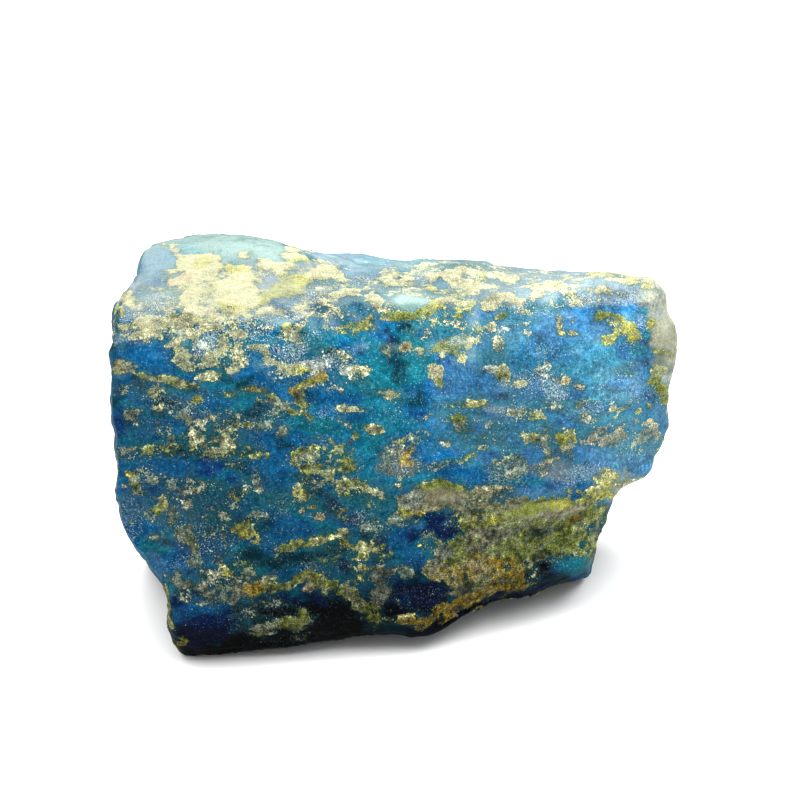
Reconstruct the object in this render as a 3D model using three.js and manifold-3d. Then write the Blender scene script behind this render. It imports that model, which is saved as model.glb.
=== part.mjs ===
// Lapis lazuli stone: one rough lump of blue rock, broken along its bedding and its joints,
// lying as it rests on a level surface. It is a single solid.
//
// Units are millimetres and +Z is up. The origin is the middle of the stone's footprint box,
// on the surface it rests on. +X runs along the stone's length and its broad side faces -Y,
// leaning back a little, so that it looks slightly up.
//
// The shape is worked out from a core point inside the stone. Every fracture face stands at
// its own reach from the core, the outline of the broad side bounds them all round, and the
// bedding ledges, lumps, hollows and pits are relief on top of that.
import * as THREE from "three";
import { ImprovedNoise } from "three/addons/math/ImprovedNoise.js";
import { mergeVertices } from "three/addons/utils/BufferGeometryUtils.js";
import Module from "manifold-3d";

const CORE_HEIGHT = 13.0; // of the core point above the resting face
const BROAD_RISE = 25; // degrees that the broad side looks up
const SIDE_DRAW = 195; // the sides draw in towards a point this far out from the broad side
const FACE_SHARPNESS = 30; // higher keeps the edges between fracture faces crisper
const RIM_SHARPNESS = 60; // the same, for the edge between the faces and the outline
const RIM_ALLOWANCE = 0.1; // added to the outline, for what the rounding takes off it
const FACE_WANDER = { length: 15, share: 0.035 }; // how far the fracture faces bow and twist

// The block whose grid is pushed out to the surface: its size across, up and out, how far it
// is slewed, the spacing of its grid and how far its corners stray from that.
const BLOCK = { across: 48, up: 31, out: 24, slew: 0.22, spacing: 1.25, stray: 0.7 };
const GROUND_MARGIN = 60; // half the size of the block that cuts the resting face

// Fracture faces: turn from the -Y direction towards +X and rise above level, both in
// degrees, then the reach from the core.
const FRACTURES = [
  { face: "broad side, upper", turn: 12, rise: 27, reach: 11.2 },
  { face: "broad side, lower", turn: 12, rise: 14, reach: 11.2 },
  { face: "broad side, lower right", turn: 28, rise: 5, reach: 13.6 },
  { face: "undercut, left", turn: 6, rise: -22, reach: 17.4 },
  { face: "undercut, right", turn: 34, rise: -38, reach: 17.8 },
  { face: "top", turn: 40, rise: 86, reach: 15.9 },
  { face: "right end bevel", turn: 70, rise: 10, reach: 24.6 },
  { face: "right end, back", turn: 122, rise: 4, reach: 23.4 },
  { face: "left end", turn: -102, rise: -2, reach: 23.7 },
  { face: "left end, back", turn: -142, rise: -8, reach: 19.0 },
  { face: "back", turn: 188, rise: 6, reach: 13.8 },
  { face: "back, lower", turn: 174, rise: -36, reach: 14.4 },
  { face: "back, upper", turn: 158, rise: 50, reach: 18.3 },
  { face: "underside", turn: 20, rise: -87, reach: 13.2 },
];

// The outline of the broad side, anticlockwise from the right end: across and up from the
// core, as it shows to someone who faces the broad side.
const OUTLINE = [
  [24.8, 8.3], [24.2, 10.8], [23.2, 12.9], [22.1, 14.4],
  [17.9, 15.1], [12.7, 15.3], [8.8, 15.6], [3.9, 16.1], [-1.7, 16.7], [-7.3, 17.2],
  [-8.8, 17.4], [-10.9, 18.1], [-15.8, 18.4], [-18.8, 18.2], [-20.3, 17.8], [-21.9, 16.9],
  [-22.6, 15.1], [-23.4, 13.6], [-24.7, 12.0], [-25.1, 9.6],
  [-25.2, 5.3], [-24.9, 1.8], [-24.2, -2.6], [-24.3, -4.8], [-23.2, -7.9], [-22.1, -10.2],
  [-20.7, -12.7], [-19.7, -15.8], [-18.6, -18.0],
  [-12.7, -17.9], [-3.9, -17.4], [3.9, -16.5], [8.3, -15.1], [12.7, -13.4], [15.6, -12.4],
  [17.0, -11.4], [17.6, -8.8], [18.1, -6.4], [18.9, -4.3], [20.5, -3.0],
  [22.1, -1.8], [23.4, -0.2], [24.2, 2.2], [23.7, 4.1], [24.1, 5.7],
];
const OUTLINE_SAMPLES = 720;

// Lumps and hollows, each on one side of the stone: its middle along the side's two axes, its
// half sizes, how far its long axis leans, its height, and how much of it is sloping edge.
const FORMS = [
  { on: "top", form: "knob", at: [-18, -3], half: [4.5, 5], lean: 0, height: 0.3, edge: 0.6 },
  { on: "top", form: "plate", at: [-11, 5], half: [5, 4], lean: 20, height: 0.55, edge: 0.35 },
  { on: "top", form: "plate", at: [5, 1], half: [4.5, 3], lean: -15, height: 0.5, edge: 0.4 },
  { on: "top", form: "plate", at: [17, -2], half: [3.5, 4], lean: 30, height: 0.45, edge: 0.4 },
  { on: "top", form: "dip", at: [-3, 3], half: [4, 7], lean: 12, height: -0.8, edge: 1 },
  { on: "top", form: "dip", at: [11, 5], half: [5, 4], lean: -10, height: -0.6, edge: 1 },
  { on: "top", form: "dip", at: [-7, -7], half: [6, 3], lean: 8, height: -0.6, edge: 1 },
  { on: "front", form: "brow", at: [2, 11.6], half: [6, 1.6], lean: 5, height: 0.5, edge: 0.8 },
  { on: "front", form: "brow", at: [-9, 9.4], half: [8, 1.4], lean: -12, height: 0.4, edge: 0.7 },
  { on: "front", form: "cleft", at: [1.6, 7], half: [1.8, 5], lean: -8, height: -0.6, edge: 1 },
  { on: "front", form: "crease", at: [-17.5, -0.5], half: [7.5, 0.9], lean: 0, height: -0.6, edge: 1 },
  { on: "front", form: "crease", at: [12, 3.4], half: [11, 0.9], lean: 2, height: -0.45, edge: 1 },
  { on: "front", form: "shelf", at: [-13, 2.2], half: [8, 1.8], lean: -6, height: 0.35, edge: 0.6 },
  { on: "front", form: "boss", at: [1.5, -0.5], half: [3.2, 2.2], lean: 20, height: 0.5, edge: 0.9 },
  { on: "front", form: "step back", at: [15, -10], half: [12, 5.2], lean: 3, height: -0.9, edge: 0.25 },
  { on: "front", form: "dip", at: [-6, -8.2], half: [6.5, 2.2], lean: 4, height: -0.5, edge: 0.9 },
  { on: "front", form: "dip", at: [17, 8], half: [6, 4], lean: 0, height: -0.4, edge: 1 },
  { on: "front", form: "lump", at: [-20, -7], half: [4, 4.5], lean: -30, height: 0.5, edge: 1 },
  { on: "front", form: "lump", at: [14.5, -10.5], half: [3.4, 1.8], lean: 10, height: 0.7, edge: 0.9 },
  { on: "back", form: "scoop", at: [-11, 5], half: [9, 7], lean: 15, height: -1.5, edge: 1 },
  { on: "back", form: "scoop", at: [7, -3], half: [8, 6], lean: -25, height: -1.3, edge: 1 },
  { on: "back", form: "rib", at: [-2, 1], half: [2.2, 10], lean: 14, height: 0.8, edge: 0.9 },
  { on: "back", form: "scoop", at: [15, 7], half: [6, 5], lean: 0, height: -0.9, edge: 1 },
  { on: "back", form: "ledge", at: [-12, -8], half: [9, 3], lean: -5, height: 0.8, edge: 0.3 },
  { on: "back", form: "crust", at: [10, 9], half: [5, 2.4], lean: 12, height: 0.6, edge: 0.4 },
  { on: "left", form: "scoop", at: [-2, 4], half: [5, 6], lean: 10, height: -1.0, edge: 1 },
  { on: "left", form: "chip", at: [6, -3], half: [4, 3], lean: 30, height: -0.9, edge: 0.5 },
  { on: "left", form: "plate", at: [-4, -8], half: [6, 3.4], lean: -8, height: 0.4, edge: 0.35 },
  { on: "left", form: "chip", at: [8, 6], half: [3, 2.4], lean: -20, height: -0.7, edge: 0.6 },
  { on: "right", form: "scoop", at: [-3, 4], half: [5, 4], lean: -15, height: -1.0, edge: 1 },
  { on: "right", form: "plate", at: [-5, -5], half: [5, 3], lean: 10, height: 0.6, edge: 0.35 },
  { on: "under", form: "hollow", at: [8, -3], half: [8, 5], lean: 14, height: -1.6, edge: 0.9 },
  { on: "under", form: "hollow", at: [-13, -8], half: [9, 6], lean: 30, height: -1.6, edge: 0.9 },
  { on: "under", form: "hollow", at: [-9, 5], half: [6, 3.4], lean: -12, height: -1.2, edge: 0.9 },
];

// Bedding ledges: spacing and depth, and how far they wander from level beds.
const LEDGES = [
  { spacing: 4.6, depth: 0.6, wander: 1.5 },
  { spacing: 2.7, depth: 0.3, wander: 1.0 },
];
const LEDGE_BREAK = 0.8; // share of a ledge that swells before it steps back

// Rough relief: wavelength and height, coarse to fine.
const ROUGHNESS = [
  { length: 11, height: 0.55 },
  { length: 5, height: 0.38 },
  { length: 2.6, height: 0.2 },
];

const PITS = { count: 60, smallest: 1.2, largest: 2.6, depth: 0.45, seed: 11 };

const OUTLINE_TURN = 2 * Math.PI;
const radians = THREE.MathUtils.degToRad;
const { smoothstep, lerp } = THREE.MathUtils;

// A unit vector from a turn about +Z, measured from -Y, and a rise above level.
function heading(turn, rise) {
  const level = Math.cos(radians(rise));
  return new THREE.Vector3(
    Math.sin(radians(turn)) * level,
    -Math.cos(radians(turn)) * level,
    Math.sin(radians(rise)),
  );
}

const ACROSS = new THREE.Vector3(1, 0, 0);
const OUT = heading(0, BROAD_RISE); // straight out of the broad side
const UP = heading(180, 90 - BROAD_RISE); // up along the broad side

// The sides that a form can lie on: the two axes it is placed along, and where it faces.
const SIDES = {
  front: { u: ACROSS, v: UP, facing: OUT },
  back: { u: ACROSS, v: UP, facing: OUT.clone().negate() },
  top: { u: ACROSS, v: OUT, facing: UP },
  under: { u: ACROSS, v: OUT, facing: UP.clone().negate() },
  left: { u: OUT, v: UP, facing: ACROSS.clone().negate() },
  right: { u: OUT, v: UP, facing: ACROSS },
};
const SIDE_FADE = 5; // millimetres over which a form fades in from the stone's middle

const faces = FRACTURES.map(({ turn, rise, reach }) => ({ normal: heading(turn, rise), reach }));

// The outline as a table of radius against angle, made from a smooth closed curve.
function outlineTable() {
  const corners = OUTLINE.map(([across, up]) => new THREE.Vector3(across, up, 0));
  const curve = new THREE.CatmullRomCurve3(corners, true, "centripetal");
  return curve
    .getPoints(OUTLINE_SAMPLES)
    .map((p) => ({ angle: Math.atan2(p.y, p.x), radius: Math.hypot(p.x, p.y) }))
    .sort((a, b) => a.angle - b.angle);
}

const outline = outlineTable();

// Radius of the outline at an angle, between the two table entries on either side of it.
function outlineRadius(angle) {
  const next = outline.findIndex((entry) => entry.angle > angle);
  const high = next < 0 ? 0 : next;
  const after = outline[high];
  const before = outline[(high + outline.length - 1) % outline.length];
  const span = (after.angle - before.angle + OUTLINE_TURN) % OUTLINE_TURN || 1;
  const share = ((angle - before.angle + OUTLINE_TURN) % OUTLINE_TURN) / span;
  return lerp(before.radius, after.radius, Math.min(share, 1));
}

// The largest of some nearness values, rounded where two of them are alike.
function roundedMost(values, sharpness) {
  const sum = values.reduce((total, value) => total + Math.max(value, 0) ** sharpness, 0);
  return sum ** (1 / sharpness);
}

// How far the smooth stone reaches from the core in a direction.
function smoothReach(direction) {
  const across = direction.dot(ACROSS);
  const up = direction.dot(UP);
  const out = direction.dot(OUT);
  const radius = outlineRadius(Math.atan2(up, across)) + RIM_ALLOWANCE;
  const rim = (Math.hypot(across, up) + (radius * out) / SIDE_DRAW) / radius;
  const broken = faces.map(({ normal, reach }, i) => {
    const { length, share } = FACE_WANDER;
    const bow = 1 + share * noise(direction, length / reach, 5 * i);
    return normal.dot(direction) / (reach * bow);
  });
  return 1 / roundedMost([rim, roundedMost(broken, FACE_SHARPNESS)], RIM_SHARPNESS);
}

// How far the lumps and hollows move a point, each straight out of the side it lies on.
function formShift(point) {
  const shift = new THREE.Vector3();
  for (const { on, at, half, lean, height: top, edge } of FORMS) {
    const { u, v, facing } = SIDES[on];
    const du = point.dot(u) - at[0];
    const dv = point.dot(v) - at[1];
    const c = Math.cos(radians(lean));
    const s = Math.sin(radians(lean));
    const q = Math.hypot((du * c + dv * s) / half[0], (dv * c - du * s) / half[1]);
    const inside = smoothstep(1 - q, 0, edge);
    const onSide = smoothstep(point.dot(facing), 0, SIDE_FADE);
    shift.addScaledVector(facing, top * inside * onSide);
  }
  return shift;
}

const perlin = new ImprovedNoise();

// Smooth noise between -1 and 1 with the given wavelength; offset tells layers apart.
function noise(point, length, offset = 0) {
  return perlin.noise(point.x / length + offset, point.y / length + offset, point.z / length);
}

// Height of the bedding ledges: each bed swells out slowly, then steps back.
function ledgeHeight(point) {
  let height = 0;
  for (const { spacing, depth, wander } of LEDGES) {
    const bed = point.dot(UP) + wander * noise(point, 7, spacing);
    const share = bed / spacing - Math.floor(bed / spacing);
    const broken = smoothstep(noise(point, 9, 3 * spacing), -0.35, 0.35);
    height += depth * broken * (share - smoothstep(share, LEDGE_BREAK, 1) - 0.4);
  }
  return height;
}

// Height of the rough relief, from broad swells down to coarse grain.
function roughHeight(point) {
  return ROUGHNESS.reduce(
    (total, { length, height }, layer) => total + height * noise(point, length, 10 * layer),
    0,
  );
}

// Pits at places spread evenly over all directions by the golden angle, with seeded sizes.
function makePits() {
  const random = (n) => {
    const value = Math.sin((n + PITS.seed) * 12.9898) * 43758.5453;
    return value - Math.floor(value);
  };
  const golden = Math.PI * (3 - Math.sqrt(5));
  return Array.from({ length: PITS.count }, (_, i) => {
    const z = 1 - (2 * i + 1) / PITS.count;
    const level = Math.sqrt(1 - z * z);
    const angle = i * golden + random(i);
    const direction = new THREE.Vector3(level * Math.cos(angle), level * Math.sin(angle), z);
    const centre = direction.clone().multiplyScalar(smoothReach(direction));
    return { centre, radius: lerp(PITS.smallest, PITS.largest, random(i + 500)) };
  });
}

const pits = makePits();

// Depth of the pits at a point, as a height below zero.
function pitHeight(point) {
  return pits.reduce((total, { centre, radius }) => {
    const near = 1 - point.distanceTo(centre) / radius;
    return near > 0 ? total - PITS.depth * smoothstep(near, 0, 0.8) : total;
  }, 0);
}

// The surface point in a direction from the core, with all its relief.
function surfacePoint(direction) {
  const point = direction.clone().multiplyScalar(smoothReach(direction));
  const height = ledgeHeight(point) + roughHeight(point) + pitHeight(point);
  return point.clone().add(formShift(point)).addScaledVector(direction, height);
}

// A geometry with positions only and its shared corners merged.
function merged(geometry) {
  geometry.deleteAttribute("normal");
  geometry.deleteAttribute("uv");
  return mergeVertices(geometry);
}

// The block's grid pushed out to the stone's surface.
function roughStone() {
  const { across, up, out, slew, spacing, stray } = BLOCK;
  const steps = [across, up, out].map((size) => Math.round(size / spacing));
  const geometry = merged(new THREE.BoxGeometry(across, up, out, ...steps));
  const position = geometry.attributes.position;
  const grid = new THREE.Vector3();
  for (let i = 0; i < position.count; i++) {
    grid.fromBufferAttribute(position, i);
    grid.x += stray * noise(grid, 1.7 * spacing, 40);
    grid.y += stray * noise(grid, 1.7 * spacing, 50);
    const direction = new THREE.Vector3()
      .addScaledVector(ACROSS, grid.x)
      .addScaledVector(UP, grid.y)
      .addScaledVector(OUT, grid.z - slew * grid.x)
      .normalize();
    const { x, y, z } = surfacePoint(direction);
    position.setXYZ(i, x, y, z + CORE_HEIGHT);
  }
  return geometry;
}

const wasm = await Module();
wasm.setup();

// A closed geometry with merged corners as a solid.
function solidOf(geometry) {
  const vertProperties = new Float32Array(geometry.attributes.position.array);
  const triVerts = new Uint32Array(geometry.index.array);
  return new wasm.Manifold(new wasm.Mesh({ numProp: 3, vertProperties, triVerts }));
}

// A solid as a three.js geometry.
function geometryOf(solid) {
  const { vertProperties, triVerts } = solid.getMesh();
  const geometry = new THREE.BufferGeometry();
  geometry.setAttribute("position", new THREE.BufferAttribute(vertProperties, 3));
  geometry.setIndex(new THREE.BufferAttribute(triVerts, 1));
  return geometry;
}

const ground = new THREE.BoxGeometry(2 * GROUND_MARGIN, 2 * GROUND_MARGIN, GROUND_MARGIN);
ground.translate(0, 0, -GROUND_MARGIN / 2);
const rested = geometryOf(solidOf(roughStone()).subtract(solidOf(merged(ground))));
rested.computeBoundingBox();
const middle = rested.boundingBox.getCenter(new THREE.Vector3());
rested.translate(-middle.x, -middle.y, 0);
rested.computeVertexNormals();

const lapis = new THREE.MeshStandardMaterial({ color: 0x1f5f95, roughness: 0.6, metalness: 0 });
const stone = new THREE.Mesh(rested, lapis);
stone.name = "stone";

const model = new THREE.Group();
model.add(stone);
export default model;
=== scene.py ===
"""Dresses the rough lapis lazuli stone and sets it on a pale table.

The stone's form is the frame's solid. This script gives it the relief that is too fine for
that solid, lays its markings on, makes its finish, and sets up the floor, lights and camera.
Lengths are millimetres in the stone's own frame, except where a name says metres.
"""

from __future__ import annotations

import logging
import math
from dataclasses import dataclass, field
from enum import Enum
from itertools import product

import bpy
import numpy as np
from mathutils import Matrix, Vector

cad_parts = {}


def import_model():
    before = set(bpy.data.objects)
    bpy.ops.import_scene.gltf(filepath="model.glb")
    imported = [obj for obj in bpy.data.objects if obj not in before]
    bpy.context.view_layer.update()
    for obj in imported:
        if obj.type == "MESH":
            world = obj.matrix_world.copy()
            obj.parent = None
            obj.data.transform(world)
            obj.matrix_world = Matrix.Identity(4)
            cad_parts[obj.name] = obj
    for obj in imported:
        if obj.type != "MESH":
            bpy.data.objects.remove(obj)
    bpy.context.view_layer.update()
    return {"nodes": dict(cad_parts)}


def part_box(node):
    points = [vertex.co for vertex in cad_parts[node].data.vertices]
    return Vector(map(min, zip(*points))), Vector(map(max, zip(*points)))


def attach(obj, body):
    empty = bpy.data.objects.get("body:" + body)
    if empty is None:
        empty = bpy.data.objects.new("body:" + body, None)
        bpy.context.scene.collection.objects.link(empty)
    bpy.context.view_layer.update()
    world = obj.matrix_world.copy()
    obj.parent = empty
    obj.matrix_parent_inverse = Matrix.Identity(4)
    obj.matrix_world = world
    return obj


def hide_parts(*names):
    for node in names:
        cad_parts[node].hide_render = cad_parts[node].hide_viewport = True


LOG = logging.getLogger("lapis")
METRES = 0.001  # metres in a millimetre
DEPTH = 0.86  # how much of a tint's lightness is the stone's own; the strong light gives the rest


def smooth_step(low: float, high: float, value: np.ndarray) -> np.ndarray:
    """Eases from 0 at low to 1 at high.

    Args:
        low: the value that gives 0.
        high: the value that gives 1; it may lie below low.
        value: what is eased.

    Returns:
        An array like value, between 0 and 1.
    """
    share = np.clip((value - low) / (high - low), 0.0, 1.0)
    return share * share * (3.0 - 2.0 * share)


class Noise:
    """Smooth seeded noise over space, between about -1 and 1."""

    gain = 1.6  # brings its heights to about 1
    shift = 17.3  # how far apart its layers are drawn

    def __init__(self, seed: int) -> None:
        """Draws the lattice that the noise is made on.

        Args:
            seed: tells one noise from another.
        """
        random = np.random.default_rng(seed)
        self.order = random.permutation(256)
        slopes = random.normal(size=(256, 3))
        self.slopes = slopes / np.linalg.norm(slopes, axis=1)[:, None]

    def at(self, points: np.ndarray, size: float | tuple[float, float, float]) -> np.ndarray:
        """Noise at some points.

        Args:
            points: one row for each point.
            size: the width of its lumps, one number or one for each axis.

        Returns:
            One value for each point.
        """
        place = points / np.asarray(size)
        cell = np.floor(place).astype(int)
        part = place - cell
        ease = part**3 * (part * (part * 6.0 - 15.0) + 10.0)
        total = np.zeros(len(points))
        for corner in product((0, 1), repeat=3):
            key = np.zeros(len(points), dtype=int)
            for axis in range(3):
                key = self.order[(key + cell[:, axis] + corner[axis]) & 255]
            rise = (self.slopes[key] * (part - corner)).sum(axis=1)
            total += rise * np.where(corner, ease, 1.0 - ease).prod(axis=1)
        return self.gain * total

    def layered(self, points: np.ndarray, size: float, layers: int) -> np.ndarray:
        """Noise with finer and weaker noise on top.

        Args:
            points: one row for each point.
            size: the width of the coarsest lumps.
            layers: how many layers, each half the size and half the height of the last.

        Returns:
            One value for each point.
        """
        return sum(0.5**i * self.at(points + self.shift * i, size * 0.5**i) for i in range(layers))


class Layer(Enum):
    """What a marking is laid on as."""

    ROCK = "rock"  # a change of the rock's own colour
    CRUST = "crust"  # a skin of paler mineral that stands proud
    FROST = "frost"  # a haze of fine pale grains


class Tint(Enum):
    """The named colours of the markings, each with its layer and its sRGB colour."""

    ROYAL = (Layer.ROCK, (10, 92, 142))
    VIOLET = (Layer.ROCK, (8, 64, 130))
    AZURE = (Layer.ROCK, (14, 126, 190))
    LAKE = (Layer.ROCK, (12, 110, 140))
    TEAL = (Layer.ROCK, (16, 106, 122))
    DEEP_TEAL = (Layer.ROCK, (2, 54, 68))
    CYAN = (Layer.ROCK, (54, 148, 166))
    SKY = (Layer.ROCK, (104, 144, 168))
    AQUA = (Layer.ROCK, (122, 156, 150))
    LAVENDER = (Layer.ROCK, (140, 156, 168))
    SLATE = (Layer.ROCK, (60, 108, 150))
    GREY = (Layer.ROCK, (126, 134, 132))
    NAVY = (Layer.ROCK, (3, 32, 78))
    BLACK = (Layer.ROCK, (4, 6, 12))
    MIST = (Layer.ROCK, (88, 134, 168))
    # Pale rock at the rim: partly its own pale mineral, partly painted glow of light through the thin edge.
    RIM = (Layer.ROCK, (172, 174, 148))
    CREAM = (Layer.CRUST, (194, 191, 144))
    PEARL = (Layer.CRUST, (182, 187, 144))
    WHITE = (Layer.CRUST, (182, 198, 198))
    BUTTER = (Layer.CRUST, (186, 186, 72))
    PEACH = (Layer.CRUST, (196, 180, 140))
    SAGE = (Layer.CRUST, (118, 146, 138))
    ASH = (Layer.CRUST, (138, 136, 104))
    OLIVE = (Layer.CRUST, (134, 144, 58))
    MOSS = (Layer.CRUST, (48, 54, 26))
    TAN = (Layer.CRUST, (124, 134, 118))
    OCHRE = (Layer.CRUST, (188, 158, 36))
    RUST = (Layer.CRUST, (130, 84, 30))
    FROST = (Layer.FROST, (176, 194, 198))
    # Pale specks: partly pale grains, partly painted glints.
    STAR = (Layer.FROST, (214, 228, 230))
    VEIL = (Layer.FROST, (38, 100, 102))
    CHALK = (Layer.FROST, (212, 212, 184))
    GILT = (Layer.FROST, (206, 208, 116))
    FILM = (Layer.FROST, (96, 130, 134))
    HALO = (Layer.FROST, (26, 96, 98))
    GRIT = (Layer.FROST, (156, 172, 168))
    # Dark pits, partly painted shade in a crust's hollows.
    PIT = (Layer.FROST, (16, 22, 20))
    DUST = (Layer.FROST, (192, 206, 198))

    def __init__(self, layer: Layer, srgb: tuple[int, int, int]) -> None:
        """Keeps the layer and turns the colour to linear light.

        Args:
            layer: what a marking of this tint is laid on as.
            srgb: the colour, each part from 0 to 255.
        """
        self.layer = layer
        share = np.asarray(srgb) / 255.0
        linear = np.where(share < 0.04045, share / 12.92, ((share + 0.055) / 1.055) ** 2.4)
        self.colour = DEPTH * linear
        self.paint = (*map(float, self.colour), 1.0)


@dataclass(frozen=True)
class Patch:
    """An oval marking, laid on along the sight lines of the broad side."""

    tint: Tint
    at: tuple[float, float]  # its middle, across and up from the core
    half: tuple[float, float]  # its half sizes
    lean: float = 0.0  # degrees that its long axis rises to the right
    strength: float = 1.0  # at 0.8 half of a crust is broken away; above 1 rock also clears crust

    @property
    def reach(self) -> float:
        """The smaller of its half sizes."""
        return min(self.half)

    def inset(self, across: np.ndarray, up: np.ndarray) -> np.ndarray:
        """About how far inside its edge each place lies.

        Args:
            across: how far across each place is seen.
            up: how far up it is seen.

        Returns:
            The distances, below 0 outside.
        """
        cosine, sine = math.cos(math.radians(self.lean)), math.sin(math.radians(self.lean))
        right, rise = across - self.at[0], up - self.at[1]
        long = (right * cosine + rise * sine) / self.half[0]
        short = (rise * cosine - right * sine) / self.half[1]
        return self.reach * (1.0 - np.hypot(long, short))


@dataclass(frozen=True)
class Seam:
    """A marking that follows a line, laid on along the sight lines of the broad side."""

    tint: Tint
    through: tuple[tuple[float, float], ...]  # across and up from the core
    reach: float  # half its width
    strength: float = 1.0

    def inset(self, across: np.ndarray, up: np.ndarray) -> np.ndarray:
        """About how far inside its edge each place lies.

        Args:
            across: how far across each place is seen.
            up: how far up it is seen.

        Returns:
            The distances, below 0 outside.
        """
        nearest = np.full(across.shape, np.inf)
        for (x0, y0), (x1, y1) in zip(self.through, self.through[1:]):
            run, rise = x1 - x0, y1 - y0
            share = ((across - x0) * run + (up - y0) * rise) / (run * run + rise * rise)
            share = np.clip(share, 0.0, 1.0)
            gap = np.hypot(across - x0 - share * run, up - y0 - share * rise)
            nearest = np.minimum(nearest, gap)
        return self.reach - nearest


@dataclass(frozen=True)
class Place:
    """A broad soft place on the broad side that something is done to."""

    at: tuple[float, float]  # across and up from the core
    half: tuple[float, float]
    amount: float  # how much is done to its middle

    def weight(self, across: np.ndarray, up: np.ndarray) -> np.ndarray:
        """How strongly each place has it, from 0 to 1."""
        away = np.hypot((across - self.at[0]) / self.half[0], (up - self.at[1]) / self.half[1])
        return smooth_step(1.0, 0.2, away)


# Wide thin crusts, laid before all else.
FIELDS = (
    Patch(Tint.CREAM, (-14.8, 13.4), (5.4, 2.8), 0, 0.79),
    Patch(Tint.CREAM, (-7.4, 14.8), (3.2, 2.0), -5, 0.8),
    Patch(Tint.CREAM, (-9.6, 11.4), (6.0, 1.4), 4, 0.77),
    Patch(Tint.CREAM, (-19.5, 10.7), (6.0, 1.3), 3, 0.82),
    Patch(Tint.OLIVE, (-4.0, -9.4), (3.2, 1.1), 0, 0.82),
    Patch(Tint.TAN, (14.7, 0.3), (2.4, 1.2), 0, 0.79),
    Patch(Tint.SAGE, (22.0, 0.6), (1.6, 1.4), 0, 0.8),
    Patch(Tint.TAN, (-12.2, -14.0), (3.0, 1.2), 0, 0.79),
    Patch(Tint.CREAM, (-20.6, 13.2), (3.0, 1.4), 20, 0.78),
    Patch(Tint.CREAM, (-17.9, 10.3), (6.8, 1.6), 0, 0.74),
    Patch(Tint.CREAM, (-0.4, 13.6), (5.7, 2.2), 0, 0.74),
    Patch(Tint.CREAM, (11.6, 13.9), (5.8, 2.2), -6, 0.79),
    Patch(Tint.PEARL, (5.2, 10.2), (3.2, 1.4), 0, 0.79),
    Patch(Tint.CREAM, (5.6, 15.2), (5.4, 1.2), -5, 0.83),
    Patch(Tint.CREAM, (6.9, 8.9), (3.5, 2.0), 0, 0.64),
    Patch(Tint.WHITE, (-7.7, 7.1), (5.2, 1.9), -12, 0.7),
    Patch(Tint.SAGE, (-20.6, 2.5), (3.0, 3.2), 0, 0.67),
    Patch(Tint.TAN, (-15.0, 1.0), (4.0, 2.0), 0, 0.74),
    Patch(Tint.OLIVE, (-6.1, -1.3), (2.8, 1.8), 0, 0.76),
    Patch(Tint.TAN, (0.6, -1.2), (1.9, 1.9), 0, 0.75),
    Patch(Tint.TAN, (11.8, 2.5), (5.5, 2.8), 0, 0.64),
    Patch(Tint.SAGE, (20.3, 1.6), (3.8, 2.5), 0, 0.67),
    Patch(Tint.TAN, (-20.9, -4.8), (2.9, 3.2), 0, 0.72),
    Patch(Tint.TAN, (-16.5, -6.7), (3.1, 3.8), 0, 0.74),
    Patch(Tint.TAN, (-2.4, -14.3), (2.4, 1.2), 0, 0.79),
    Patch(Tint.BUTTER, (4.9, 12.8), (2.4, 1.2), 0, 0.84),
    Patch(Tint.SAGE, (-11.8, -4.8), (2.9, 1.8), 0, 0.65),
    Patch(Tint.OLIVE, (-4.2, -4.8), (4.1, 1.9), 0, 0.7),
    Patch(Tint.TAN, (-15.3, -12.5), (4.1, 1.7), 0, 0.75),
    Patch(Tint.OLIVE, (-4.5, -11.8), (4.4, 2.0), 0, 0.74),
    Patch(Tint.SAGE, (-10.1, -15.5), (3.5, 1.7), 0, 0.72),
    Patch(Tint.OLIVE, (-1.3, -14.4), (2.0, 1.6), 0, 0.78),
    Patch(Tint.OLIVE, (10.8, -7.6), (7.6, 2.9), 10, 1.1),
    Patch(Tint.OLIVE, (5.6, -11.0), (2.6, 2.2), 0, 1.0),
)
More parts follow.
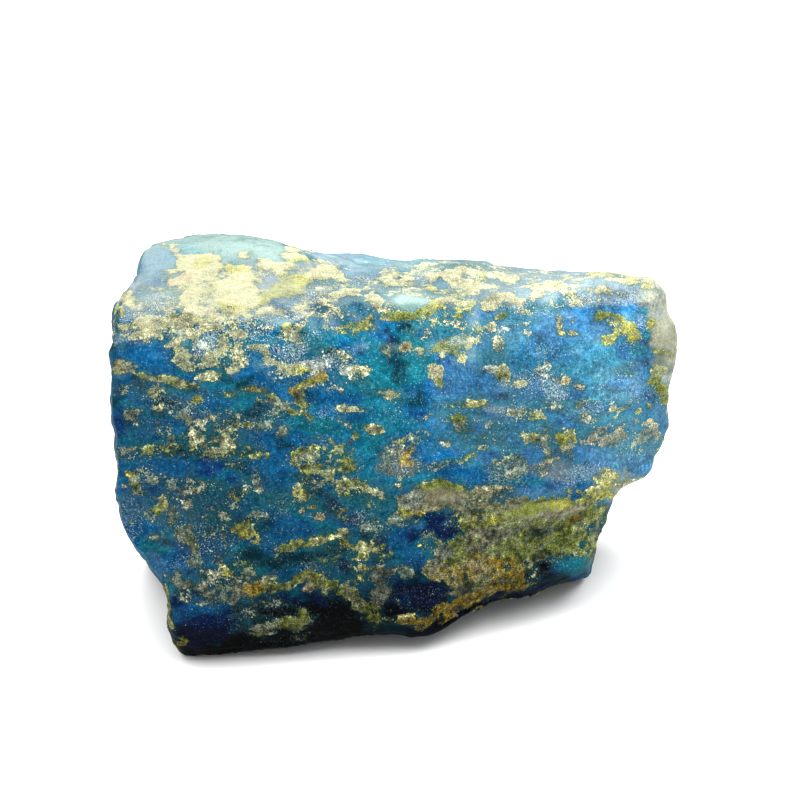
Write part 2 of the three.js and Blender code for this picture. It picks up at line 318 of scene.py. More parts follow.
# The top and its edge at the left, under the widest cream crust.
TOP_LEFT = (
    Patch(Tint.AQUA, (-16, 16), (8, 3.4), 0, 0.8),
    Patch(Tint.SKY, (-20.9, 16.3), (1.7, 1.2), 20),
    Patch(Tint.CYAN, (-18.3, 17.1), (1.6, 0.8), 10, 0.4),
    Patch(Tint.AQUA, (-14.0, 17.7), (2.8, 0.7)),
    Patch(Tint.SLATE, (-22.4, 15.3), (0.5, 1.0), 20, 0.7),
    Patch(Tint.SLATE, (-20.6, 14.4), (1.4, 0.65)),
    Patch(Tint.LAVENDER, (-21.4, 13.0), (0.9, 0.5)),
    Patch(Tint.LAVENDER, (-23.4, 13.8), (1.3, 0.5), 35),
    Patch(Tint.CYAN, (-19.4, 13.6), (0.6, 0.4)),
    Patch(Tint.TEAL, (-20.3, 12.3), (1.6, 0.5), 0, 0.8),
    Patch(Tint.LAVENDER, (-16.0, 12.0), (0.4, 0.4)),
    Patch(Tint.LAVENDER, (-12.4, 15.7), (0.9, 0.6)),
    Patch(Tint.SLATE, (-22.6, 11.2), (1.2, 0.4)),
    Patch(Tint.ROYAL, (-17.1, 10.2), (1.0, 0.4), 15),
    Patch(Tint.BLACK, (-21.7, 9.7), (0.22, 0.15)),
    Patch(Tint.GREY, (-16.2, 13.1), (0.5, 1.2), 0, 0.7),
    Patch(Tint.CREAM, (-19.5, 17.4), (0.4, 0.3)),
    Patch(Tint.CREAM, (-19.3, 15.3), (0.9, 0.28), 5),
    Patch(Tint.CREAM, (-18.2, 16.0), (0.7, 0.35), 15),
    Patch(Tint.CREAM, (-17.0, 15.7), (1.8, 1.4), 0, 1.1),
    Patch(Tint.BUTTER, (-16.9, 15.6), (0.7, 1.0), 0, 0.8),
    Patch(Tint.PEACH, (-18.4, 14.6), (0.9, 0.6)),
    Patch(Tint.CREAM, (-18.0, 13.2), (1.1, 1.1), 0, 1.1),
    Patch(Tint.CREAM, (-16.4, 13.4), (1.7, 2.4), 0, 0.9),
    Patch(Tint.CREAM, (-18.0, 11.8), (1.3, 0.9)),
    Patch(Tint.CREAM, (-23.2, 12.8), (0.8, 0.7), 20),
    Patch(Tint.BUTTER, (-24.2, 11.8), (0.4, 0.5)),
    Patch(Tint.CREAM, (-13.7, 13.7), (1.7, 1.9), 0, 1.3),
    Seam(Tint.BUTTER, ((-15.1, 12.3), (-14.4, 11.8), (-13.4, 11.8), (-12.3, 12.3), (-11.9, 12.9)), 0.32),
    Patch(Tint.BUTTER, (-14.0, 15.6), (0.9, 0.35)),
    Patch(Tint.CREAM, (-13.2, 16.8), (0.5, 0.35)),
    Patch(Tint.CREAM, (-21.3, 11.4), (1.0, 0.35), 10, 0.8),
    Patch(Tint.BUTTER, (-21.7, 10.6), (0.9, 0.2), 4),
    Patch(Tint.BUTTER, (-20.0, 10.9), (0.8, 0.28), 28),
    Patch(Tint.PEACH, (-18.0, 10.6), (0.7, 0.22), 15),
    Seam(
        Tint.CREAM,
        (
            (-24.6, 10.6),
            (-23.0, 10.4),
            (-21.4, 10.9),
            (-20.0, 10.6),
            (-18.6, 11.1),
            (-17.2, 10.9),
            (-15.4, 11.3),
        ),
        0.34,
    ),
    Seam(Tint.CREAM, ((-18.0, 9.9), (-16.4, 10.3), (-14.8, 9.8), (-13.2, 9.4)), 0.3),
    Seam(Tint.CREAM, ((-14.6, 11.7), (-12.8, 11.3), (-11.0, 11.9), (-9.2, 11.7), (-7.6, 12.3)), 0.26, 0.95),
    Patch(Tint.CREAM, (-15.6, 10.4), (0.8, 0.3)),
    Patch(Tint.CREAM, (-13.8, 9.8), (0.9, 0.35), -15),
    Patch(Tint.CREAM, (-13.2, 10.5), (0.7, 0.3), 0, 0.8),
    Patch(Tint.FROST, (-16.2, 12.6), (0.8, 1.6)),
    Patch(Tint.FROST, (-22.3, 11.3), (2.4, 0.9)),
    Patch(Tint.FROST, (-14.5, 11.2), (2.4, 0.5)),
    Patch(Tint.FROST, (-20.0, 12.8), (1.8, 0.9)),
)
# The top and its edge in the middle, with the pale teal oval.
TOP_MIDDLE = (
    Patch(Tint.AQUA, (-11.5, 17.2), (2.0, 0.9)),
    Patch(Tint.LAVENDER, (-11.3, 14.9), (1.0, 0.9)),
    Patch(Tint.LAVENDER, (-6.4, 15.8), (1.8, 1.1)),
    Patch(Tint.SKY, (-3.9, 15.8), (1.5, 0.8)),
    Patch(Tint.SLATE, (-3.4, 14.7), (0.5, 0.4)),
    Patch(Tint.SLATE, (-8.6, 12.6), (1.7, 0.5), 8),
    Patch(Tint.LAVENDER, (-11.6, 12.0), (1.3, 0.3), 10, 0.7),
    Patch(Tint.LAKE, (-5.0, 12.0), (1.6, 0.8)),
    Patch(Tint.ROYAL, (-5.5, 10.9), (0.8, 0.7)),
    Patch(Tint.LAKE, (-3.2, 9.8), (2.4, 0.7)),
    Patch(Tint.NAVY, (-0.2, 10.2), (0.45, 0.6)),
    Patch(Tint.DEEP_TEAL, (-10.4, 9.6), (1.1, 0.4)),
    Patch(Tint.SLATE, (-0.6, 15.8), (0.5, 0.4)),
    Patch(Tint.AQUA, (1.4, 12.65), (2.4, 0.85), -3, 1.2),
    Patch(Tint.AQUA, (1.3, 16.0), (0.9, 0.5)),
    Patch(Tint.GREY, (2.4, 15.0), (1.0, 0.6), 0, 0.7),
    Patch(Tint.CYAN, (6.7, 15.4), (0.9, 0.4), -8),
    Patch(Tint.CYAN, (4.8, 10.2), (3.6, 1.5), 0, 0.35),
    Patch(Tint.SLATE, (9.4, 14.25), (1.9, 0.4), -5),
    Patch(Tint.SLATE, (10.6, 13.7), (1.2, 0.45), -10),
    Patch(Tint.SLATE, (12.2, 13.0), (0.8, 0.5)),
    Patch(Tint.LAVENDER, (12.3, 14.8), (1.7, 0.4)),
    Patch(Tint.ROYAL, (7.6, 11.7), (1.9, 0.55)),
    Patch(Tint.LAKE, (6.2, 11.7), (0.7, 0.5)),
    Patch(Tint.TEAL, (10.6, 11.0), (1.5, 0.6)),
    Patch(Tint.TEAL, (5.0, 10.6), (1.6, 0.5)),
    Patch(Tint.DEEP_TEAL, (1.1, 10.4), (0.9, 0.6)),
    Patch(Tint.ROYAL, (3.2, 9.9), (0.9, 0.6)),
    Patch(Tint.ROYAL, (7.5, 9.2), (0.8, 0.6)),
    Patch(Tint.NAVY, (0.1, 9.0), (0.4, 1.0)),
    Patch(Tint.CREAM, (-8.6, 16.8), (0.9, 0.6)),
    Patch(Tint.BUTTER, (-8.3, 16.3), (0.6, 0.4), 0, 0.8),
    Patch(Tint.CREAM, (-10.5, 15.9), (1.7, 0.5), -10),
    Patch(Tint.OLIVE, (-9.0, 14.2), (1.4, 0.8), 20, 1.1),
    Patch(Tint.BUTTER, (-8.4, 14.5), (0.5, 0.6)),
    Patch(Tint.OLIVE, (-11.3, 13.2), (1.0, 0.45), 25, 1.1),
    Patch(Tint.BUTTER, (-11.9, 12.7), (0.5, 0.35), 30),
    Patch(Tint.CREAM, (-12.5, 13.5), (0.7, 1.5)),
    Patch(Tint.CREAM, (-6.2, 15.1), (1.3, 0.6)),
    Patch(Tint.CREAM, (-4.8, 14.8), (0.7, 0.35)),
    Patch(Tint.CREAM, (-4.1, 13.3), (1.4, 0.32), -3),
    Patch(Tint.CREAM, (-1.9, 13.0), (1.1, 0.55), -12),
    Patch(Tint.CREAM, (-0.3, 14.7), (0.8, 0.5)),
    Patch(Tint.WHITE, (-9.7, 11.35), (1.7, 0.3), 5, 0.8),
    Patch(Tint.CREAM, (-6.9, 11.6), (0.35, 0.65)),
    Patch(Tint.CREAM, (-6.3, 12.85), (0.4, 0.2)),
    Patch(Tint.BUTTER, (-9.5, 10.4), (0.8, 0.4), 0, 1.1),
    Patch(Tint.CREAM, (-8.9, 9.8), (0.6, 0.65)),
    Patch(Tint.SAGE, (-6.7, 9.9), (1.3, 0.45), 0, 0.7),
    Patch(Tint.OLIVE, (-4.0, 10.5), (0.7, 0.25), -10, 1.1),
    Patch(Tint.CREAM, (-4.6, 10.3), (0.5, 0.2)),
    Patch(Tint.OCHRE, (-2.2, 11.1), (0.5, 0.35)),
    Patch(Tint.MOSS, (-2.8, 10.6), (1.0, 0.25), 5),
    Seam(
        Tint.OLIVE,
        ((-0.9, 11.4), (0.3, 11.4), (2.0, 11.3), (3.2, 11.8), (4.0, 12.3), (4.6, 13.0)),
        0.38,
        1.2,
    ),
    Patch(Tint.BUTTER, (3.7, 12.4), (0.5, 0.5), 50),
    Patch(Tint.CREAM, (0.9, 14.7), (1.0, 0.5), 0, 0.9),
    Patch(Tint.SAGE, (2.6, 15.2), (1.2, 0.5), 0, 0.65),
    Patch(Tint.CREAM, (3.8, 14.9), (0.9, 0.35)),
    Patch(Tint.BUTTER, (3.3, 14.0), (0.5, 0.3)),
    Patch(Tint.CREAM, (5.5, 14.4), (1.2, 0.6), 0, 1.1),
    Patch(Tint.CREAM, (5.4, 15.4), (0.6, 0.4)),
    Patch(Tint.CREAM, (4.7, 12.8), (0.9, 0.5)),
    Patch(Tint.CREAM, (5.6, 12.5), (0.6, 0.25), 10),
    Patch(Tint.CREAM, (1.0, 13.6), (1.4, 0.25), 0, 0.8),
    Patch(Tint.BUTTER, (8.0, 15.0), (0.6, 0.5)),
    Patch(Tint.CREAM, (9.8, 14.8), (1.6, 0.25), -8),
    Patch(Tint.CREAM, (7.3, 13.8), (0.7, 0.3)),
    Patch(Tint.CREAM, (8.4, 12.4), (0.8, 0.5), 0, 0.9),
    Patch(Tint.CREAM, (9.7, 13.0), (1.3, 0.35), -10),
    Patch(Tint.CREAM, (10.7, 12.7), (0.8, 0.28), -5),
    Patch(Tint.MOSS, (8.3, 13.0), (0.35, 0.35), 0, 0.7),
    Patch(Tint.OLIVE, (9.5, 11.3), (0.4, 0.28)),
    Patch(Tint.OLIVE, (5.5, 11.45), (0.35, 0.28)),
    Patch(Tint.CREAM, (2.4, 10.7), (0.4, 0.2)),
    Patch(Tint.CREAM, (3.3, 10.8), (0.35, 0.2)),
    Patch(Tint.BUTTER, (7.3, 10.4), (0.8, 0.4), -5, 1.1),
    Patch(Tint.CREAM, (8.3, 10.4), (0.6, 0.4)),
    Patch(Tint.CREAM, (4.8, 10.1), (0.5, 0.38)),
    Patch(Tint.FROST, (-6.9, 13.5), (1.8, 0.8)),
    Patch(Tint.FROST, (-2.2, 14.2), (1.5, 0.7)),
    Patch(Tint.FROST, (-10.0, 11.6), (3.0, 0.7)),
    Patch(Tint.FROST, (2.3, 14.8), (1.2, 0.7)),
    Patch(Tint.FROST, (6.2, 13.3), (1.2, 0.5)),
    Patch(Tint.FROST, (10.5, 12.3), (2.0, 0.5)),
    Patch(Tint.FROST, (-3.0, 12.2), (2.0, 0.5), 0, 0.6),
)
# The top and its edge at the right, with the yellow arch.
TOP_RIGHT = (
    Patch(Tint.SLATE, (16.2, 13.7), (1.8, 1.0)),
    Patch(Tint.SLATE, (15.3, 14.8), (1.8, 0.4)),
    Patch(Tint.SLATE, (20.4, 13.1), (1.4, 0.5)),
    Patch(Tint.AZURE, (20.6, 12.0), (1.6, 0.7)),
    Patch(Tint.ROYAL, (21.4, 10.8), (0.6, 1.2)),
    Patch(Tint.AZURE, (15.9, 11.3), (1.3, 0.75), 0, 1.2),
    Patch(Tint.AZURE, (15.6, 10.4), (0.9, 0.5)),
    Patch(Tint.ROYAL, (17.8, 10.3), (0.8, 0.4)),
    Patch(Tint.LAKE, (16.2, 8.4), (1.9, 0.9)),
    Patch(Tint.ROYAL, (13.2, 10.0), (1.2, 1.6), 0, 0.8),
    Patch(Tint.CYAN, (18.5, 7.8), (1.5, 1.0), 0, 0.5),
    Patch(Tint.CYAN, (17.7, 9.2), (0.4, 0.4), 0, 0.7),
    Patch(Tint.TEAL, (18.0, 6.4), (1.6, 0.6)),
    Patch(Tint.ROYAL, (20.1, 8.3), (0.9, 0.7), 0, 1.1),
    Patch(Tint.NAVY, (21.9, 9.1), (0.7, 0.5)),
    Patch(Tint.NAVY, (22.0, 7.2), (0.8, 0.3), -10),
    # The pale right rim, partly painted glow of light through the thin edge.
    Patch(Tint.RIM, (24.2, 8.6), (1.6, 5.4), 4, 1.2),
    Patch(Tint.RIM, (23.0, 12.2), (1.0, 2.6), 16, 1.2),
    Patch(Tint.RIM, (22.4, 13.0), (1.3, 1.3), 16, 1.2),
    Patch(Tint.RIM, (23.0, 13.2), (0.8, 1.0), 40),
    Patch(Tint.CREAM, (14.0, 13.9), (0.9, 0.6)),
    Patch(Tint.CREAM, (13.1, 13.4), (1.4, 0.55), -8, 1.1),
    Patch(Tint.CREAM, (13.6, 12.6), (0.6, 0.6)),
    Patch(Tint.CREAM, (14.9, 13.2), (0.9, 0.28)),
    Patch(Tint.CREAM, (17.8, 14.7), (1.1, 0.28)),
    Patch(Tint.OLIVE, (19.3, 14.6), (0.6, 0.28), 0, 0.8),
    Patch(Tint.CREAM, (20.9, 14.4), (1.1, 0.4), -4, 1.1),
    Patch(Tint.BUTTER, (21.0, 14.5), (0.7, 0.3)),
    Patch(Tint.CREAM, (19.6, 14.1), (0.8, 0.18)),
    Patch(Tint.CREAM, (18.4, 13.5), (1.4, 0.33), -9, 1.1),
    Patch(Tint.CREAM, (21.9, 13.6), (0.5, 0.3), -40),
    Patch(Tint.CREAM, (15.4, 10.9), (0.22, 0.2)),
    Patch(Tint.CREAM, (15.5, 9.8), (0.3, 0.22)),
    Patch(Tint.CREAM, (14.4, 10.7), (0.25, 0.6)),
    Patch(Tint.CREAM, (14.5, 9.9), (0.35, 0.3)),
    Patch(Tint.SAGE, (18.6, 10.8), (0.8, 0.3), -10),
    Patch(Tint.PEARL, (19.5, 10.4), (1.4, 0.8), -10, 1.0),
    Seam(Tint.OLIVE, ((17.5, 11.4), (19.1, 11.1), (20.5, 10.6), (21.1, 9.6), (20.6, 9.1)), 0.42, 1.1),
    Patch(Tint.BUTTER, (20.2, 10.4), (0.7, 0.4), -30, 1.1),
    Patch(Tint.BUTTER, (19.0, 9.6), (0.9, 0.4), 15, 1.1),
    Patch(Tint.BUTTER, (20.8, 9.6), (0.45, 0.5), 0, 1.2),
    Patch(Tint.BUTTER, (22.6, 10.7), (0.3, 0.35)),
    Patch(Tint.OLIVE, (23.5, 8.1), (0.8, 0.4), -10),
    Patch(Tint.MOSS, (23.3, 7.4), (0.5, 0.3), 0, 0.8),
    Patch(Tint.OLIVE, (23.2, 6.5), (0.8, 0.35), 10),
    Patch(Tint.OLIVE, (22.8, 5.5), (0.7, 0.5)),
    Patch(Tint.WHITE, (10.6, 10.45), (0.8, 0.14), 12),
    Patch(Tint.WHITE, (11.5, 9.8), (0.6, 0.2), -52),
    Patch(Tint.TAN, (9.0, 8.8), (0.45, 0.8), 0, 0.9),
    Patch(Tint.SAGE, (13.3, 6.7), (0.2, 0.6), 0, 0.8),
    Patch(Tint.SAGE, (14.2, 6.4), (0.6, 0.3), 0, 0.7),
    Patch(Tint.SAGE, (20.0, 6.7), (0.6, 0.35), 0, 0.7),
    Patch(Tint.FROST, (16.6, 12.8), (2.0, 0.7)),
    Patch(Tint.FROST, (20.2, 12.9), (1.8, 0.7)),
    Patch(Tint.FROST, (12.8, 11.6), (1.6, 0.4)),
    Patch(Tint.FROST, (21.6, 10.8), (0.7, 1.6), 0, 0.7),
    Patch(Tint.FROST, (13.5, 8.6), (1.6, 0.8), 0, 0.5),
)
# The broad side, left, above the middle.
LEFT = (
    Patch(Tint.ROYAL, (-21.5, 7.9), (2.8, 1.5)),
    Patch(Tint.ROYAL, (-23.9, 7.9), (0.9, 0.7)),
    Patch(Tint.SLATE, (-22.8, 9.4), (1.8, 0.5), 0, 0.8),
    Patch(Tint.SLATE, (-17.2, 8.2), (0.9, 0.8)),
    Patch(Tint.ROYAL, (-17.9, 6.1), (1.05, 0.5), 0, 1.2),
    Patch(Tint.ROYAL, (-13.4, 6.9), (1.6, 1.2), 0, 1.2),
    Patch(Tint.TEAL, (-20.2, 4.8), (1.4, 0.5)),
    Patch(Tint.DEEP_TEAL, (-19.5, 3.7), (1.6, 0.6)),
    Patch(Tint.VIOLET, (-24.1, 2.9), (0.5, 0.6)),
    Patch(Tint.VIOLET, (-24.0, 1.6), (0.9, 1.0), 0, 0.8),
    Patch(Tint.ROYAL, (-20.9, 1.1), (1.6, 0.9)),
    Patch(Tint.AZURE, (-19.0, 1.3), (0.6, 0.45)),
    Patch(Tint.TEAL, (-13.6, 3.4), (1.9, 0.6)),
    Patch(Tint.NAVY, (-17.3, 5.0), (1.2, 0.2), -5),
    Patch(Tint.SLATE, (-17.8, 4.0), (0.9, 0.6), 0, 0.6),
    Patch(Tint.ROYAL, (-14.9, 4.0), (0.9, 0.4)),
    Patch(Tint.ROYAL, (-14.3, 0.3), (0.8, 0.4)),
    Patch(Tint.BUTTER, (-18.9, 9.3), (0.45, 0.8), -25, 1.2),
    Patch(Tint.OLIVE, (-18.0, 9.5), (0.9, 0.4), 8, 1.1),
    Patch(Tint.PEARL, (-18.7, 8.1), (0.45, 1.0)),
    Patch(Tint.WHITE, (-17.1, 8.4), (1.1, 0.8), 0, 0.84),
    Patch(Tint.PEARL, (-18.1, 6.9), (1.1, 0.35), -8),
    Patch(Tint.PEARL, (-16.6, 7.3), (0.9, 0.5), 35),
    Patch(Tint.PEARL, (-16.5, 6.3), (0.6, 0.3)),
    Patch(Tint.PEARL, (-14.8, 7.0), (0.5, 0.7), 20),
    Patch(Tint.PEARL, (-15.0, 8.7), (0.5, 0.6)),
    Patch(Tint.PEARL, (-13.3, 8.6), (0.9, 0.25), -5),
    Patch(Tint.OLIVE, (-23.9, 6.85), (0.95, 0.42)),
    Patch(Tint.OCHRE, (-23.9, 7.05), (0.55, 0.25), 0, 1.2),
    Patch(Tint.TAN, (-22.9, 6.6), (0.8, 0.3), -32),
    Seam(
        Tint.OLIVE,
        ((-22.5, 6.2), (-21.5, 5.9), (-20.0, 5.85), (-19.0, 5.4), (-18.3, 5.4), (-17.1, 5.2)),
        0.28,
    ),
    Patch(Tint.TAN, (-21.9, 5.2), (1.1, 0.5), 0, 0.75),
    Patch(Tint.TAN, (-24.1, 4.7), (0.7, 0.6), 0, 0.85),
    Patch(Tint.PEARL, (-21.2, 4.4), (0.4, 0.4), 0, 0.9),
    Patch(Tint.PEARL, (-20.9, 3.4), (0.6, 0.5), 0, 0.85),
    Patch(Tint.TAN, (-23.0, 2.85), (0.8, 0.4)),
    Patch(Tint.PEARL, (-22.8, 2.0), (0.6, 0.35), 0, 0.9),
    Patch(Tint.PEARL, (-20.7, 1.9), (0.3, 0.3)),
    Patch(Tint.SAGE, (-19.1, 2.4), (0.6, 0.35)),
    Patch(Tint.OLIVE, (-18.3, 2.2), (0.4, 0.4)),
    Patch(Tint.SAGE, (-19.5, 0.7), (0.3, 0.6)),
    Patch(Tint.BUTTER, (-17.0, 4.1), (0.4, 0.45), 0, 1.3),
    Patch(Tint.TAN, (-16.6, 2.4), (1.7, 0.7), 0, 0.8),
    Patch(Tint.PEARL, (-17.1, 1.0), (1.5, 0.9), 0, 0.85),
    Patch(Tint.PEARL, (-14.9, 1.3), (1.3, 0.9), 0, 0.9),
    Patch(Tint.OLIVE, (-13.0, 1.9), (1.1, 0.22), 0, 0.9),
    Patch(Tint.OLIVE, (-14.0, 4.8), (0.9, 0.22), 5),
    Patch(Tint.FROST, (-22.8, 9.6), (2.4, 0.6)),
    Patch(Tint.FROST, (-16.4, 8.6), (1.6, 1.2), 0, 1.2),
    Patch(Tint.FROST, (-24.3, 9.4), (0.7, 0.8)),
    Patch(Tint.FROST, (-15.5, 9.9), (7.5, 1.3), 0, 0.7),
    Patch(Tint.FROST, (-14.0, 8.0), (2.0, 0.8), 0, 0.6),
    Patch(Tint.FROST, (-16.6, 2.9), (2.0, 0.6), 0, 0.6),
    Patch(Tint.FROST, (-19.2, 3.5), (1.2, 1.2), 0, 0.5),
)
